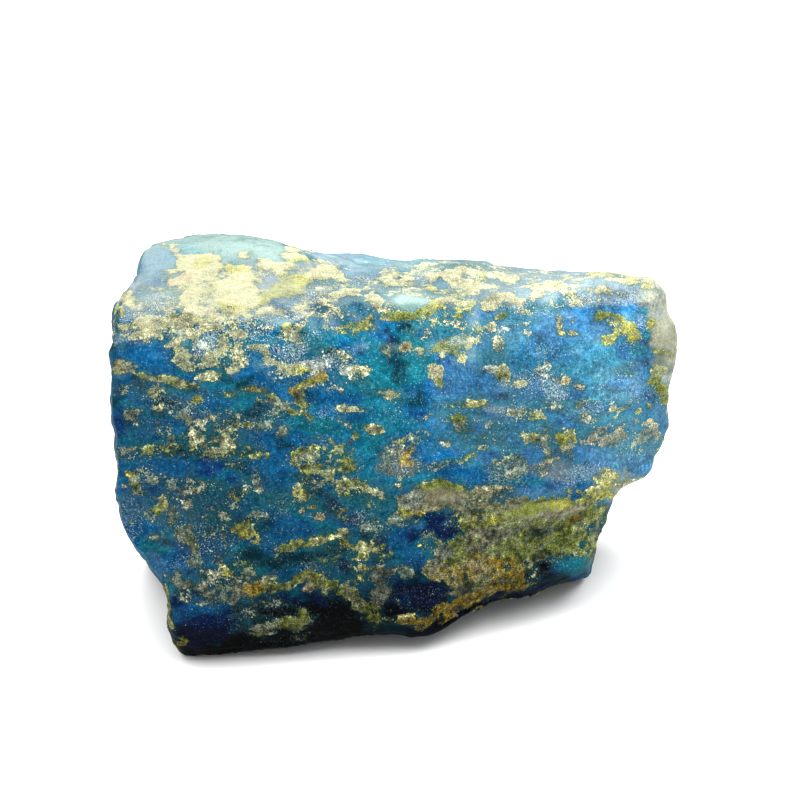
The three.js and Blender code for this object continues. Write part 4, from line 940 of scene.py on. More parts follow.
# The foot, with its gold seam and teal corner; the black and navy along its lower edge are painted shade,
# partly dark rock.
FOOT = (
    Patch(Tint.ROYAL, (-19.3, -10.4), (1.6, 1.3)),
    Patch(Tint.SLATE, (-20.9, -10.8), (0.6, 1.5), 20, 0.8),
    Patch(Tint.DEEP_TEAL, (-8.8, -10.0), (1.9, 0.8)),
    Patch(Tint.DEEP_TEAL, (-12.0, -10.0), (1.9, 0.6), 0, 1.0),
    Patch(Tint.DEEP_TEAL, (-16.2, -11.4), (1.0, 0.5)),
    Patch(Tint.NAVY, (-17.6, -14.8), (2.6, 2.4), 10),
    Patch(Tint.ROYAL, (-16.9, -13.6), (0.9, 0.5), 0, 0.6),
    Patch(Tint.BLACK, (-13.6, -14.7), (1.5, 0.8), 0, 0.9),
    Patch(Tint.BLACK, (-6.0, -15.0), (8.5, 1.9), 1),
    Patch(Tint.BLACK, (-8.0, -17.2), (11.0, 1.1), 0),
    Patch(Tint.NAVY, (-9.0, -15.6), (1.6, 0.6), 10),
    Patch(Tint.NAVY, (-3.6, -14.4), (1.3, 0.7), -10),
    Seam(
        Tint.BLACK,
        ((-18.6, -18.0), (-14.0, -18.8), (-6.0, -18.6), (1.0, -17.8), (5.0, -16.8), (7.0, -16.0)),
        1.1,
    ),
    Patch(Tint.NAVY, (-17.6, -16.9), (2.4, 1.3)),
    Seam(Tint.NAVY, ((-1.0, -17.2), (3.0, -16.6), (6.0, -15.6)), 0.9),
    Seam(Tint.DEEP_TEAL, ((8.0, -14.9), (12.0, -13.3), (15.0, -12.6)), 0.8),
    Patch(Tint.BLACK, (4.6, -15.6), (1.8, 0.6), 20),
    Patch(Tint.BLACK, (-10.0, -13.8), (2.2, 0.8), 0, 0.9),
    Patch(Tint.SLATE, (-13.0, -14.7), (0.4, 0.6), 0, 0.6),
    Patch(Tint.NAVY, (-4.2, -10.6), (1.1, 0.7), 0, 1.1),
    Patch(Tint.TEAL, (-6.1, -10.5), (1.1, 0.6), 0, 0.7),
    Patch(Tint.NAVY, (2.0, -13.3), (3.2, 1.4), 8),
    Patch(Tint.BLACK, (3.2, -13.8), (1.5, 0.7), 8),
    Patch(Tint.NAVY, (0.4, -12.6), (0.9, 0.8), 0, 0.9),
    Patch(Tint.TEAL, (-0.3, -16.2), (0.9, 0.4), 0, 0.9),
    Patch(Tint.BLACK, (8.3, -12.5), (0.65, 0.5), 0, 1.1),
    Patch(Tint.BLACK, (9.9, -10.7), (0.9, 0.4), 0, 0.9),
    Patch(Tint.BLACK, (12.2, -10.9), (1.6, 0.8), 0, 0.9),
    Patch(Tint.TEAL, (15.7, -10.6), (1.7, 1.3), 0, 1.2),
    Patch(Tint.NAVY, (14.0, -11.0), (0.8, 0.7), 0, 0.8),
    Patch(Tint.AQUA, (17.3, -10.2), (0.35, 1.1), -10, 0.6),
    Patch(Tint.TEAL, (16.6, -7.5), (0.5, 0.45), 0, 1.1),
    Seam(Tint.BLACK, ((14.0, -10.1), (15.5, -9.6), (16.5, -8.95), (17.6, -8.5)), 0.12),
    Patch(Tint.SAGE, (-17.2, -10.3), (0.7, 0.7), 0, 0.9),
    Patch(Tint.TAN, (-15.2, -9.8), (0.9, 0.4), -50, 0.95),
    Patch(Tint.BUTTER, (-14.6, -10.8), (0.4, 0.3), -40),
    Patch(Tint.OLIVE, (-13.4, -10.45), (0.6, 0.18), -10),
    Patch(Tint.OLIVE, (-19.0, -11.9), (0.35, 0.5), 0, 1.1),
    Seam(
        Tint.OLIVE,
        ((-19.0, -12.1), (-17.2, -12.4), (-16.0, -13.0), (-15.0, -13.3), (-14.0, -13.0), (-12.8, -12.5),
         (-11.5, -12.3), (-10.0, -12.4), (-9.0, -12.1), (-7.9, -11.8)),
        0.42,
        0.95,
    ),
    Patch(Tint.OCHRE, (-12.3, -12.8), (1.0, 0.7), 0, 1.2),
    Patch(Tint.RUST, (-12.3, -13.6), (0.35, 0.2)),
    Patch(Tint.BUTTER, (-11.5, -12.4), (0.8, 0.25), 0, 1.1),
    Patch(Tint.TAN, (-12.2, -11.5), (1.3, 0.4), 0, 0.9),
    Patch(Tint.TAN, (-14.4, -12.6), (1.2, 0.5), 20, 0.9),
    Patch(Tint.OLIVE, (-13.0, -15.9), (0.45, 0.45), 0, 1.1),
    Patch(Tint.OLIVE, (-11.7, -16.3), (0.65, 0.45), 0, 1.0),
    Patch(Tint.TAN, (-11.9, -15.5), (0.7, 0.3), 20, 0.8),
    Patch(Tint.OLIVE, (-9.4, -15.4), (0.6, 0.6), 30, 1.1),
    Patch(Tint.OLIVE, (-10.3, -16.0), (0.7, 0.28), 10, 0.95),
    Patch(Tint.OLIVE, (-8.1, -15.0), (0.5, 0.9), 0, 1.0),
    Patch(Tint.TAN, (-11.0, -14.4), (0.9, 0.3), 25, 0.8),
    Patch(Tint.PEACH, (-7.6, -12.9), (0.5, 0.35)),
    Patch(Tint.RUST, (-7.6, -12.4), (0.4, 0.22)),
    Patch(Tint.BUTTER, (-7.1, -11.3), (0.7, 0.4), 0, 1.1),
    Patch(Tint.OLIVE, (-6.2, -11.9), (0.7, 0.28), -20, 0.95),
    Patch(Tint.OLIVE, (-2.6, -10.6), (0.4, 0.7), 0, 1.1),
    Patch(Tint.TAN, (-1.2, -12.2), (0.5, 0.9), 5, 1.2),
    Patch(Tint.SAGE, (-1.4, -11.4), (0.5, 0.5)),
    Patch(Tint.OLIVE, (-3.8, -12.9), (1.0, 0.38), -15),
    Patch(Tint.SAGE, (-5.0, -12.2), (1.2, 0.5), 0, 0.75),
    Patch(Tint.OLIVE, (-2.9, -13.7), (0.8, 0.45), -20, 1.0),
    Patch(Tint.OLIVE, (-1.7, -14.1), (0.65, 0.45), 0, 1.1),
    Patch(Tint.SAGE, (0.9, -11.3), (0.7, 0.4), 0, 0.95),
    Patch(Tint.CREAM, (4.0, -10.8), (1.1, 0.75), 0, 1.1),
    Patch(Tint.TAN, (4.0, -9.6), (0.7, 0.7)),
    Patch(Tint.BUTTER, (5.6, -10.6), (0.9, 0.6), 0, 1.0),
    Patch(Tint.CREAM, (5.1, -12.8), (0.28, 0.9), 10),
    Patch(Tint.OCHRE, (1.2, -15.5), (0.55, 0.45), 0, 1.1),
    Patch(Tint.OCHRE, (2.3, -15.2), (0.7, 0.28), 0, 1.1),
    Patch(Tint.OCHRE, (3.2, -15.5), (0.6, 0.45), 0, 1.1),
    Patch(Tint.BUTTER, (3.9, -14.6), (0.7, 0.22), 25, 1.1),
    Patch(Tint.OCHRE, (5.4, -14.3), (0.9, 0.6), 15, 1.2),
    Patch(Tint.OLIVE, (6.2, -10.4), (1.4, 0.5), 0, 0.95),
    Patch(Tint.CREAM, (5.8, -11.4), (0.8, 0.6), 0, 1.0),
    Patch(Tint.OCHRE, (8.4, -11.1), (0.9, 0.45), -20, 1.1),
    Patch(Tint.OLIVE, (11.1, -11.7), (1.2, 0.4), 10, 1.1),
    Patch(Tint.OCHRE, (11.0, -11.8), (0.9, 0.25), 10),
    Patch(Tint.OCHRE, (9.6, -12.9), (1.1, 0.32), 18, 1.1),
    Seam(Tint.OCHRE, ((2.0, -16.0), (5.0, -15.4), (7.5, -14.4), (10.0, -13.4), (12.6, -12.6)), 0.4, 0.95),
    Patch(Tint.OCHRE, (6.8, -13.4), (1.0, 0.7), 15, 1.1),
    Patch(Tint.OLIVE, (8.6, -9.9), (1.8, 0.5), 5, 0.9),
    Patch(Tint.OLIVE, (13.5, -9.1), (1.2, 0.5), 15, 0.95),
    Patch(Tint.RUST, (15.7, -6.4), (0.6, 0.2), 15),
    Patch(Tint.SAGE, (17.5, -7.9), (0.6, 0.7), 0, 0.95),
    Patch(Tint.PEACH, (16.9, -9.3), (0.24, 0.3)),
    Seam(Tint.BUTTER, ((-20.6, -12.8), (-20.0, -15.2), (-18.8, -17.4)), 0.36, 1.1),
    Patch(Tint.FROST, (-18.0, -10.4), (2.0, 1.0), 0, 0.5),
    Patch(Tint.FROST, (-7.6, -10.6), (1.2, 0.5), 0, 0.7),
    Patch(Tint.FROST, (2.2, -13.2), (2.6, 1.2), 0, 0.35),
)
# Wide soft changes that lie over the rest; the black ones along the foot are painted shade, partly dark
# rock.
HAZES = (
    Patch(Tint.MIST, (14.0, 4.0), (11.0, 7.5), 0, 0.3),
    Patch(Tint.MIST, (13.0, 12.0), (10.0, 3.0), 0, 0.3),
    Patch(Tint.MIST, (21.0, -2.0), (4.0, 4.0), 0, 0.35),
    Patch(Tint.LAVENDER, (13.6, 14.3), (9.0, 2.0), -4, 0.5),
    Patch(Tint.MIST, (-19.0, -7.2), (2.6, 2.4), 0, 0.2),
    Patch(Tint.ROYAL, (-22.0, -7.0), (1.3, 1.2), 0, 1.05),
    Patch(Tint.OLIVE, (-2.4, 10.2), (1.8, 0.6), 0, 0.82),
    Patch(Tint.PEARL, (-15.6, 7.7), (2.8, 0.8), 0, 0.83),
    Patch(Tint.SKY, (19.6, 5.3), (2.4, 1.8), 0, 0.35),
    Patch(Tint.ROYAL, (12.2, 7.8), (2.0, 1.3), 0, 0.5),
    Patch(Tint.TEAL, (-14.7, 0.3), (1.8, 0.7), 0, 0.7),
    Patch(Tint.DEEP_TEAL, (-12.2, -7.0), (1.6, 0.9), 0, 0.8),
    Patch(Tint.DEEP_TEAL, (-14.7, -11.9), (1.8, 0.7), 0, 0.9),
    Patch(Tint.RIM, (19.3, -3.5), (1.8, 1.0), 25, 0.8),
    Patch(Tint.OCHRE, (7.4, -10.9), (3.0, 1.1), 8, 0.87),
    Patch(Tint.OCHRE, (7.4, -14.2), (2.6, 1.2), 18, 0.94),
    Patch(Tint.OLIVE, (9.8, -12.0), (2.8, 1.2), 12, 0.95),
    Patch(Tint.OLIVE, (17.2, -9.0), (1.5, 0.9), 20, 0.86),
    Patch(Tint.ASH, (7.6, -4.6), (2.8, 0.9), 8, 0.88),
    Patch(Tint.SAGE, (2.6, 0.4), (1.8, 1.0), 0, 0.76),
    Patch(Tint.MOSS, (12.9, -9.9), (1.5, 0.5), 8, 1.0),
    Patch(Tint.MOSS, (9.9, -11.6), (0.9, 0.4), 15, 1.0),
    Patch(Tint.MOSS, (6.4, -12.4), (0.6, 0.5), 30, 0.95),
    Patch(Tint.ROYAL, (-19.4, -1.9), (2.2, 1.0), 0, 1.1),
    Patch(Tint.OCHRE, (9.8, -11.9), (1.6, 1.0), 15, 0.92),
    Patch(Tint.BUTTER, (17.2, -4.4), (1.7, 0.55), 8, 0.95),
    Patch(Tint.BLACK, (-9.8, -14.4), (1.2, 0.7), 0, 1.05),
    Patch(Tint.BLACK, (-4.9, -14.4), (1.3, 0.9), 0, 1.1),
    Patch(Tint.BLACK, (0.2, -14.5), (1.3, 0.9), 0, 1.1),
    Patch(Tint.CREAM, (-19.6, 10.1), (3.4, 1.2), 3, 0.84),
)
# What lies last of all, along the lower edge of the foot, where the black and navy are painted shade,
# partly dark rock.
KEEL = (
    Patch(Tint.NAVY, (-16.4, -15.4), (3.4, 1.5), 8, 1.1),
    Patch(Tint.ROYAL, (-17.0, -14.3), (1.9, 0.8), 5, 0.8),
    Patch(Tint.BLACK, (-11.0, -14.6), (2.4, 0.7), 5, 1.1),
    Patch(Tint.BLACK, (-5.6, -14.6), (2.6, 1.4), 0, 1.1),
    Patch(Tint.NAVY, (-10.0, -13.4), (1.7, 0.45), 0, 1.05),
    Patch(Tint.NAVY, (-7.6, -13.3), (2.2, 0.7), 0, 1.05),
    Patch(Tint.NAVY, (1.9, -13.0), (2.6, 1.2), 5, 1.05),
    Seam(Tint.TAN, ((-19.2, -12.0), (-17.3, -12.3), (-15.8, -13.1), (-14.0, -13.3), (-12.8, -13.0)), 0.42),
    Seam(Tint.OLIVE, ((-12.8, -12.8), (-11.0, -12.6), (-9.0, -12.2), (-7.5, -11.6), (-5.6, -12.1)), 0.38),
    Patch(Tint.OCHRE, (-12.5, -12.8), (1.0, 0.8), 10),
    Patch(Tint.RUST, (-12.3, -13.6), (0.6, 0.3)),
    Patch(Tint.PEACH, (-7.7, -12.7), (0.5, 0.7)),
    Patch(Tint.BUTTER, (-7.0, -11.4), (0.6, 0.4), -30),
    Seam(Tint.OLIVE, ((-4.6, -12.6), (-3.4, -13.4), (-2.3, -14.4), (-1.6, -15.0)), 0.5),
    Patch(Tint.TAN, (-1.1, -12.2), (0.7, 1.3)),
    Patch(Tint.BUTTER, (-2.8, -10.4), (0.42, 1.1), -5),
    Patch(Tint.OLIVE, (-9.4, -15.6), (0.9, 0.6)),
    Patch(Tint.OLIVE, (-8.2, -15.2), (0.55, 1.2)),
    Patch(Tint.TAN, (-12.4, -15.9), (1.2, 0.4)),
    Seam(Tint.OCHRE, ((0.6, -15.6), (1.5, -15.4), (3.2, -15.5), (3.6, -14.9), (5.0, -14.2)), 0.36),
    Patch(Tint.TEAL, (-0.9, -16.1), (1.1, 0.4)),
    Seam(Tint.NAVY, ((6.4, -15.3), (8.4, -14.2), (10.6, -13.5), (13.2, -12.8)), 0.4, 1.1),
    Seam(Tint.OCHRE, ((4.6, -14.5), (6.4, -13.7), (8.2, -13.2), (9.8, -12.6), (11.4, -12.0)), 0.4, 1.05),
    Patch(Tint.OLIVE, (15.2, -8.4), (1.9, 0.6), 22),
    Patch(Tint.BLACK, (12.8, -10.9), (1.2, 0.7), 15, 1.1),
)
# Every marking of the broad side, in the order that they are laid in.
BROAD_SIDE = (
    *FIELDS,
    *TOP_LEFT,
    *TOP_MIDDLE,
    *TOP_RIGHT,
    *LEFT,
    *MIDDLE,
    *RIGHT,
    *LOWER_LEFT,
    *LOWER_MIDDLE,
    *FOOT,
    *HAZES,
    *KEEL,
)
# Painted light and shade: where the stone is painted lighter (above 1) or darker, partly for how the light
# falls on it and partly for its own lightness.
LIGHT_AND_SHADE = (
    Place((0.0, 12.0), (32.0, 4.5), 1.15),
    Place((-4.0, 16.6), (12.0, 2.4), 1.35),
    Place((-13.0, 9.9), (15.0, 2.2), 1.55),
    Place((-14.5, 7.6), (8.0, 2.8), 1.35),
    Place((9.8, 10.1), (5.5, 2.8), 1.3),
    Place((1.0, 6.5), (4.5, 4.0), 1.25),
    Place((17.1, 7.7), (4.5, 3.0), 1.2),
    Place((-16.5, -6.0), (5.0, 4.0), 0.8),
    Place((13.5, 13.6), (8.0, 3.6), 1.3),
    Place((6.0, 15.6), (10.0, 2.2), 1.25),
    Place((21.5, 12.0), (4.0, 4.0), 1.35),
    Place((5.5, 10.3), (5.5, 2.2), 1.3),
    Place((-25.3, 5.0), (2.6, 9.0), 0.72),
    Place((-9.8, 7.7), (3.2, 2.4), 1.2),
    Place((-22.0, 7.7), (2.8, 2.2), 1.3),
    Place((-12.2, 15.0), (3.4, 1.4), 1.15),
    Place((1.4, 12.8), (4.0, 1.5), 1.2),
    Place((13.4, 12.6), (5.6, 1.6), 1.4),
    Place((19.6, 10.1), (3.0, 2.2), 1.2),
    Place((0.0, 12.9), (3.4, 1.4), 1.15),
    Place((4.9, 7.7), (2.6, 2.4), 1.15),
    Place((-19.6, -6.6), (3.0, 2.6), 1.2),
    Place((7.3, -2.1), (2.8, 2.2), 1.25),
    Place((11.6, -6.0), (4.4, 2.6), 1.25),
    Place((2.4, 2.8), (3.4, 2.6), 1.3),
    Place((20.5, 4.5), (6.0, 4.0), 1.3),
    Place((22.0, 0.6), (4.0, 3.6), 1.35),
    Place((2.4, -12.0), (3.5, 2.2), 0.65),
    Place((1.5, 11.2), (5.0, 1.6), 1.4),
    Place((15.7, -10.8), (3.0, 2.2), 1.6),
    Place((-19.0, 1.0), (15.0, 12.0), 0.78),
    Place((1.0, 4.0), (32.0, 11.0), 1.3),
    Place((-12.0, -8.0), (16.0, 9.0), 0.8),
    Place((2.0, -14.5), (26.0, 7.0), 0.45),
    Place((20.0, 2.0), (12.0, 12.0), 1.35),
    Place((17.0, 11.5), (9.0, 5.0), 1.42),
    Place((5.0, 8.0), (16.0, 5.5), 1.3),
    Place((20.5, -2.5), (5.0, 5.0), 1.35),
    Place((13.4, -4.8), (4.5, 1.5), 1.35),
    Place((-14.5, 17.3), (6.0, 1.6), 1.25),
)
# Where its colours vary less.
CALMS = (
    Place((1.4, 12.65), (2.6, 1.1), 0.25),
    Place((3.9, -4.4), (3.2, 1.6), 0.4),
    Place((12.8, -5.8), (5.5, 1.5), 0.45),
    Place((16.0, -10.6), (2.2, 1.8), 0.5),
    Place((23.8, 9.0), (1.5, 6.0), 0.5),
)
# Where its surface stands further out, or in, in millimetres.
TRIMS = (
    Place((-2.0, 17.4), (9.0, 2.6), -0.35),
    Place((-25.3, 7.0), (3.0, 5.0), -0.2),
    Place((-21.6, -12.4), (3.4, 5.0), -0.75),
    Place((8.2, -15.0), (6.5, 3.2), -1.3),
    Place((14.6, -13.0), (3.6, 2.6), -0.55),
    Place((22.8, 13.8), (2.6, 2.6), 0.85),
    Place((19.0, 15.0), (3.6, 2.4), 0.55),
    Place((24.4, 11.0), (2.0, 3.0), 0.35),
    Place((22.2, -2.9), (2.2, 2.2), 0.55),
)


@dataclass
class BroadSide:
    """The way the stone's broad side is looked at square on, which the markings are laid along."""

    core: tuple[float, float, float] = (0.0058, 0.5660, 13.0)
    rise: float = 25.0  # degrees above level that it is looked at from
    draw: float = 195.0  # how far from the core it is looked at from

    def __post_init__(self) -> None:
        """Works out its axes."""
        cosine, sine = math.cos(math.radians(self.rise)), math.sin(math.radians(self.rise))
        self.middle = np.asarray(self.core)
        self.across = np.array((1.0, 0.0, 0.0))
        self.up = np.array((0.0, sine, cosine))
        self.out = np.array((0.0, -cosine, sine))
        self.eye = self.middle + self.draw * self.out

    def seen(self, points: np.ndarray) -> tuple[np.ndarray, np.ndarray]:
        """Where points are seen, across and up from the core.

        Args:
            points: one row for each point.

        Returns:
            How far across and how far up each one is seen.
        """
        away = points - self.middle
        share = self.draw / (self.draw - away @ self.out)
        return (away @ self.across) * share, (away @ self.up) * share

    def facing(self, points: np.ndarray, normals: np.ndarray) -> np.ndarray:
        """How squarely the surface faces the eye, from -1 to 1."""
        sight = self.eye - points
        return (sight * normals).sum(axis=1) / np.linalg.norm(sight, axis=1)


@dataclass
class Markings:
    """The stone's markings and its painted light and shade, as one value of each kind for each point of its
    surface.
    """

    side: BroadSide = field(default_factory=BroadSide)
    wander: tuple[tuple[float, float], ...] = ((3.4, 0.35), (1.1, 0.28), (0.55, 0.16))  # size, reach
    apart: float = 40.0  # how far apart they are drawn across and up
    wander_across: float = 1.3  # how many times that reach they wander across
    wander_up: float = 0.8  # and up
    wander_behind: float = 3.4  # and how many times more they wander across on the far top
    beds: tuple[float, float, float] = (0.6, 1.0, 1.0)  # below 1 draws the noises out that way
    broken_up: float = 0.3  # how far the edges of the top are broken up
    hues: tuple[float, int] = (2.6, 4)  # size and layers of the noise that the rock's hue follows
    depths: tuple[float, int] = (1.7, 3)  # and of those for its depth
    kinds: tuple[float, int] = (3.0, 3)  # for the tint of a crust
    patches: tuple[float, int] = (5.0, 5)  # for where crusts lie
    flakes: tuple[float, int] = (1.2, 2)
    hoar: tuple[float, int] = (4.0, 3)  # for frost
    ragged: tuple[float, int] = (1.3, 3)  # for the edges of markings
    lifts: tuple[float, int] = (1.8, 3)  # for the edges of the top
    bare: float = -1.0  # the value of a crust where there is none
    thickest: float = 0.8  # and where it is thickest
    outside: float = 0.9  # how far outside its edge a marking is still worked out
    soft: float = 0.28  # width over which one rock tint passes to the next
    edge: float = 0.5  # how far the edge of a crust wanders in and out
    full: float = 0.6  # half size of a marking whose edge wanders that far
    broken: float = 0.82  # strength at which a crust is all but broken away
    build: float = 1.4  # how much thicker it is for each 1 of strength above that
    steep: float = 1.6  # how fast a crust thickens inwards from its edge
    painted_top_light: float = 0.82  # painted light: how light the faces are that look up, lit from above
    painted_side_shade: float = 0.62  # and the others, in painted shade
    dust_on_rock: float = 0.32  # how much pale dust lies on the top's rock
    dust_on_skin: float = 0.45  # and on its crust
    foot_painted_shade: float = 0.7  # how much painted shade darkens the stone where it meets the ground
    seed: int = 41

    def paint(self, points: np.ndarray, normals: np.ndarray) -> None:
        """Works out every marking and the painted light and shade.

        Args:
            points: one row for each point of the surface.
            normals: the way the surface faces there.
        """
        noise = [Noise(self.seed + i) for i in range(12)]
        bedded = points * self.beds
        lift = normals[:, 2] + self.broken_up * noise[10].layered(points, *self.lifts)
        self.ground(points, bedded, lift, noise)
        across, up = self.side.seen(points)
        behind = smooth_step(1.0, 9.0, points[:, 1]) * smooth_step(0.4, 0.9, normals[:, 2])
        times = self.wander_across + self.wander_behind * behind
        for i, (size, reach) in enumerate(self.wander):
            across = across + times * reach * noise[6 + i].at(points, size)
            up = up + self.wander_up * reach * noise[6 + i].at(points + self.apart, size)
        seen = smooth_step(-0.2, 0.02, self.side.facing(points, normals))
        self.lay(across, up, self.edge * noise[9].layered(bedded, *self.ragged), seen)
        # Painted light and shade over the broad side.
        for place in LIGHT_AND_SHADE:
            self.tone *= 1.0 + (place.amount - 1.0) * place.weight(across, up) * seen
        self.dust_and_paint_shade(points, normals[:, 2], lift)
        for place in CALMS:
            self.vivid *= 1.0 + (place.amount - 1.0) * place.weight(across, up) * seen

    def ground(
        self, points: np.ndarray, bedded: np.ndarray, lift: np.ndarray, noise: list[Noise]
    ) -> None:
        """Lays the tints, crusts and frost that have no place of their own, and paints the top lighter than
        the sides.

        Args:
            points: one row for each point of the surface.
            bedded: the same points drawn together along the bedding.
            lift: about how far the surface faces up.
            noise: the noises to draw from.
        """
        hue = noise[0].layered(bedded, *self.hues)[:, None]
        depth = noise[1].layered(bedded, *self.depths)[:, None]
        self.rock = np.repeat(Tint.LAKE.colour[None], len(points), axis=0)
        for tint, share in (
            (Tint.ROYAL, smooth_step(0.0, 0.35, hue)),
            (Tint.TEAL, smooth_step(-0.05, -0.4, hue)),
            (Tint.DEEP_TEAL, smooth_step(0.2, 0.6, depth)),
            (Tint.VIOLET, smooth_step(0.35, 0.7, -depth) * smooth_step(0.0, 0.3, hue)),
        ):
            self.rock = self.rock + 0.9 * share * (tint.colour - self.rock)
        kind = noise[2].layered(bedded, *self.kinds)[:, None]
        self.skin = np.repeat(Tint.OLIVE.colour[None], len(points), axis=0)
        for tint, share in (
            (Tint.SAGE, smooth_step(0.05, 0.25, kind)),
            (Tint.CREAM, smooth_step(0.2, 0.45, kind)),
            (Tint.BUTTER, smooth_step(-0.1, -0.25, kind)),
            (Tint.OCHRE, smooth_step(-0.35, -0.5, kind)),
        ):
            self.skin = self.skin + share * (tint.colour - self.skin)
        patchy = noise[3].layered(bedded, *self.patches)
        patchy = patchy + 0.5 * noise[4].layered(bedded, *self.flakes)
        self.crust = np.clip(1.1 * patchy - 0.22, self.bare, self.thickest)
        self.frost = 0.8 * smooth_step(0.0, 0.7, noise[5].layered(bedded, *self.hoar))
        # Painted light: the top is painted lighter than the sides, as if lit from above.
        top = smooth_step(0.3, 0.9, lift) * smooth_step(21.0, 25.0, points[:, 2])
        self.tone = self.painted_side_shade + (self.painted_top_light - self.painted_side_shade) * top

    def lay(self, across: np.ndarray, up: np.ndarray, ragged: np.ndarray, seen: np.ndarray) -> None:
        """Lays the broad side's own markings over the ground.

        Args:
            across: how far across each point is seen.
            up: how far up it is seen.
            ragged: how far the edges wander there.
            seen: how fully the point belongs to the broad side, from 0 to 1.
        """
        laid = np.full(len(across), self.bare)
        coat = self.skin.copy()
        pale = np.zeros(len(across))
        for marking in BROAD_SIDE:
            inset = marking.inset(across, up)
            near = np.flatnonzero(inset > -self.outside)
            inset = inset[near] + ragged[near] * np.clip(marking.reach / self.full, 0.3, 1.0)
            if marking.tint.layer is Layer.ROCK:
                weight = smooth_step(-self.soft, self.soft, inset)
                weight = (min(1.0, marking.strength) * weight * seen[near])[:, None]
                self.rock[near] += weight * (marking.tint.colour - self.rock[near])
                if marking.strength > 1.0:
                    laid[near] = np.minimum(laid[near], -inset)
            elif marking.tint.layer is Layer.CRUST:
                over = smooth_step(-0.25, 0.1, inset)[:, None]
                coat[near] += over * (marking.tint.colour - coat[near])
                thick = self.build * (marking.strength - self.broken)
                laid[near] = np.maximum(laid[near], np.minimum(self.steep * inset + 0.02, thick))
            else:
                pale[near] = np.maximum(pale[near], smooth_step(-0.5, 0.6, inset) * marking.strength)
        self.skin = self.skin + seen[:, None] * (coat - self.skin)
        self.crust = self.crust * (1.0 - seen) + np.clip(laid, self.bare, self.thickest) * seen
        self.frost = self.frost * (1.0 - seen) + pale * seen

    def dust_and_paint_shade(self, points: np.ndarray, upward: np.ndarray, lift: np.ndarray) -> None:
        """Dusts the top, paints shade on the foot and the underside, and calms the colours of the top.

        Args:
            points: one row for each point of the surface.
            upward: how far the surface faces up.
            lift: the same, with its edges broken up.
        """
        height = points[:, 2]
        high = smooth_step(22.0, 25.0, height)
        dust = (smooth_step(0.45, 0.95, lift) * high)[:, None]
        self.rock += self.dust_on_rock * dust * (Tint.DUST.colour - self.rock)
        self.skin += self.dust_on_skin * dust * (Tint.CHALK.colour - self.skin)
        # Painted shade: darker where the stone meets the ground and on its underside, more so at the left.
        left = smooth_step(9.0, 0.0, points[:, 0])
        self.tone *= 1.0 - self.foot_painted_shade * smooth_step(1.1, 0.0, height) * (0.4 + 0.6 * left)
        underside_shade = (0.4 + 0.4 * left) * smooth_step(8.0, 4.0, height)
        self.tone *= 1.0 - underside_shade * smooth_step(0.05, -0.35, upward)
        still = smooth_step(0.35, 0.9, lift) * high
        self.vivid = 1.0 - still * (0.5 + 0.3 * smooth_step(-3.0, -9.0, points[:, 0]))


@dataclass
class Graph:
    """A material's nodes."""

    material: bpy.types.Material

    def node(
        self,
        kind: str,
        settings: dict[str, object] | None = None,
        values: dict[str | int, object] | None = None,
        output: str | int = 0,
    ) -> Value:
        """Adds a node.

        Args:
            kind: the node's type.
            settings: what is set on the node itself, first.
            values: numbers, colours or links for its sockets.
            output: which of its outputs is wanted.

        Returns:
            That output.
        """
        made = self.material.node_tree.nodes.new(kind)
        for name, setting in (settings or {}).items():
            setattr(made, name, setting)
        for name, value in (values or {}).items():
            if isinstance(value, Value):
                self.material.node_tree.links.new(value.socket, made.inputs[name])
            else:
                made.inputs[name].default_value = value
        return Value(self, made.outputs[output] if made.outputs else None)

    def mix(self, share: Value | float, first: object, second: object) -> Value:
        """Passes from the first colour to the second as share goes from 0 to 1."""
        settings = {"data_type": "RGBA", "blend_type": "MIX", "clamp_factor": True}
        return self.node("ShaderNodeMix", settings, {0: share, 6: first, 7: second}, 2)

    def attribute(self, name: str, output: str = "Fac") -> Value:
        """What the surface holds under that name."""
        return self.node("ShaderNodeAttribute", {"attribute_name": name}, {}, output)

    def ease(self, value: Value, low: Value | float, high: Value | float) -> Value:
        """Eases from 0, where the value is low, to 1, where it is high."""
        limits = {"Value": value, "From Min": low, "From Max": high}
        return self.node("ShaderNodeMapRange", {"interpolation_type": "SMOOTHSTEP"}, limits)


@dataclass
class Value:
    """A node's output, which can be written into sums."""

    graph: Graph
    socket: bpy.types.NodeSocket | None

    def sum(self, operation: str, first: object, second: object) -> Value:
        """Adds the Math node for one operation on two values."""
        return self.graph.node("ShaderNodeMath", {"operation": operation}, {0: first, 1: second})

    def __add__(self, other: Value | float) -> Value:
        """This and another."""
        return self.sum("ADD", self, other)

    def __radd__(self, other: float) -> Value:
        """A number and this."""
        return self.sum("ADD", other, self)

    def __sub__(self, other: Value | float) -> Value:
        """This less another."""
        return self.sum("SUBTRACT", self, other)

    def __rsub__(self, other: float) -> Value:
        """A number less this."""
        return self.sum("SUBTRACT", other, self)

    def __mul__(self, other: Value | float) -> Value:
        """This times another."""
        return self.sum("MULTIPLY", self, other)

    def __rmul__(self, other: float) -> Value:
        """A number times this."""
        return self.sum("MULTIPLY", other, self)

    def __pow__(self, other: Value | float) -> Value:
        """This to the power of another."""
        return self.sum("POWER", self, other)

    def __rpow__(self, other: float) -> Value:
        """A number to the power of this."""
        return self.sum("POWER", other, self)


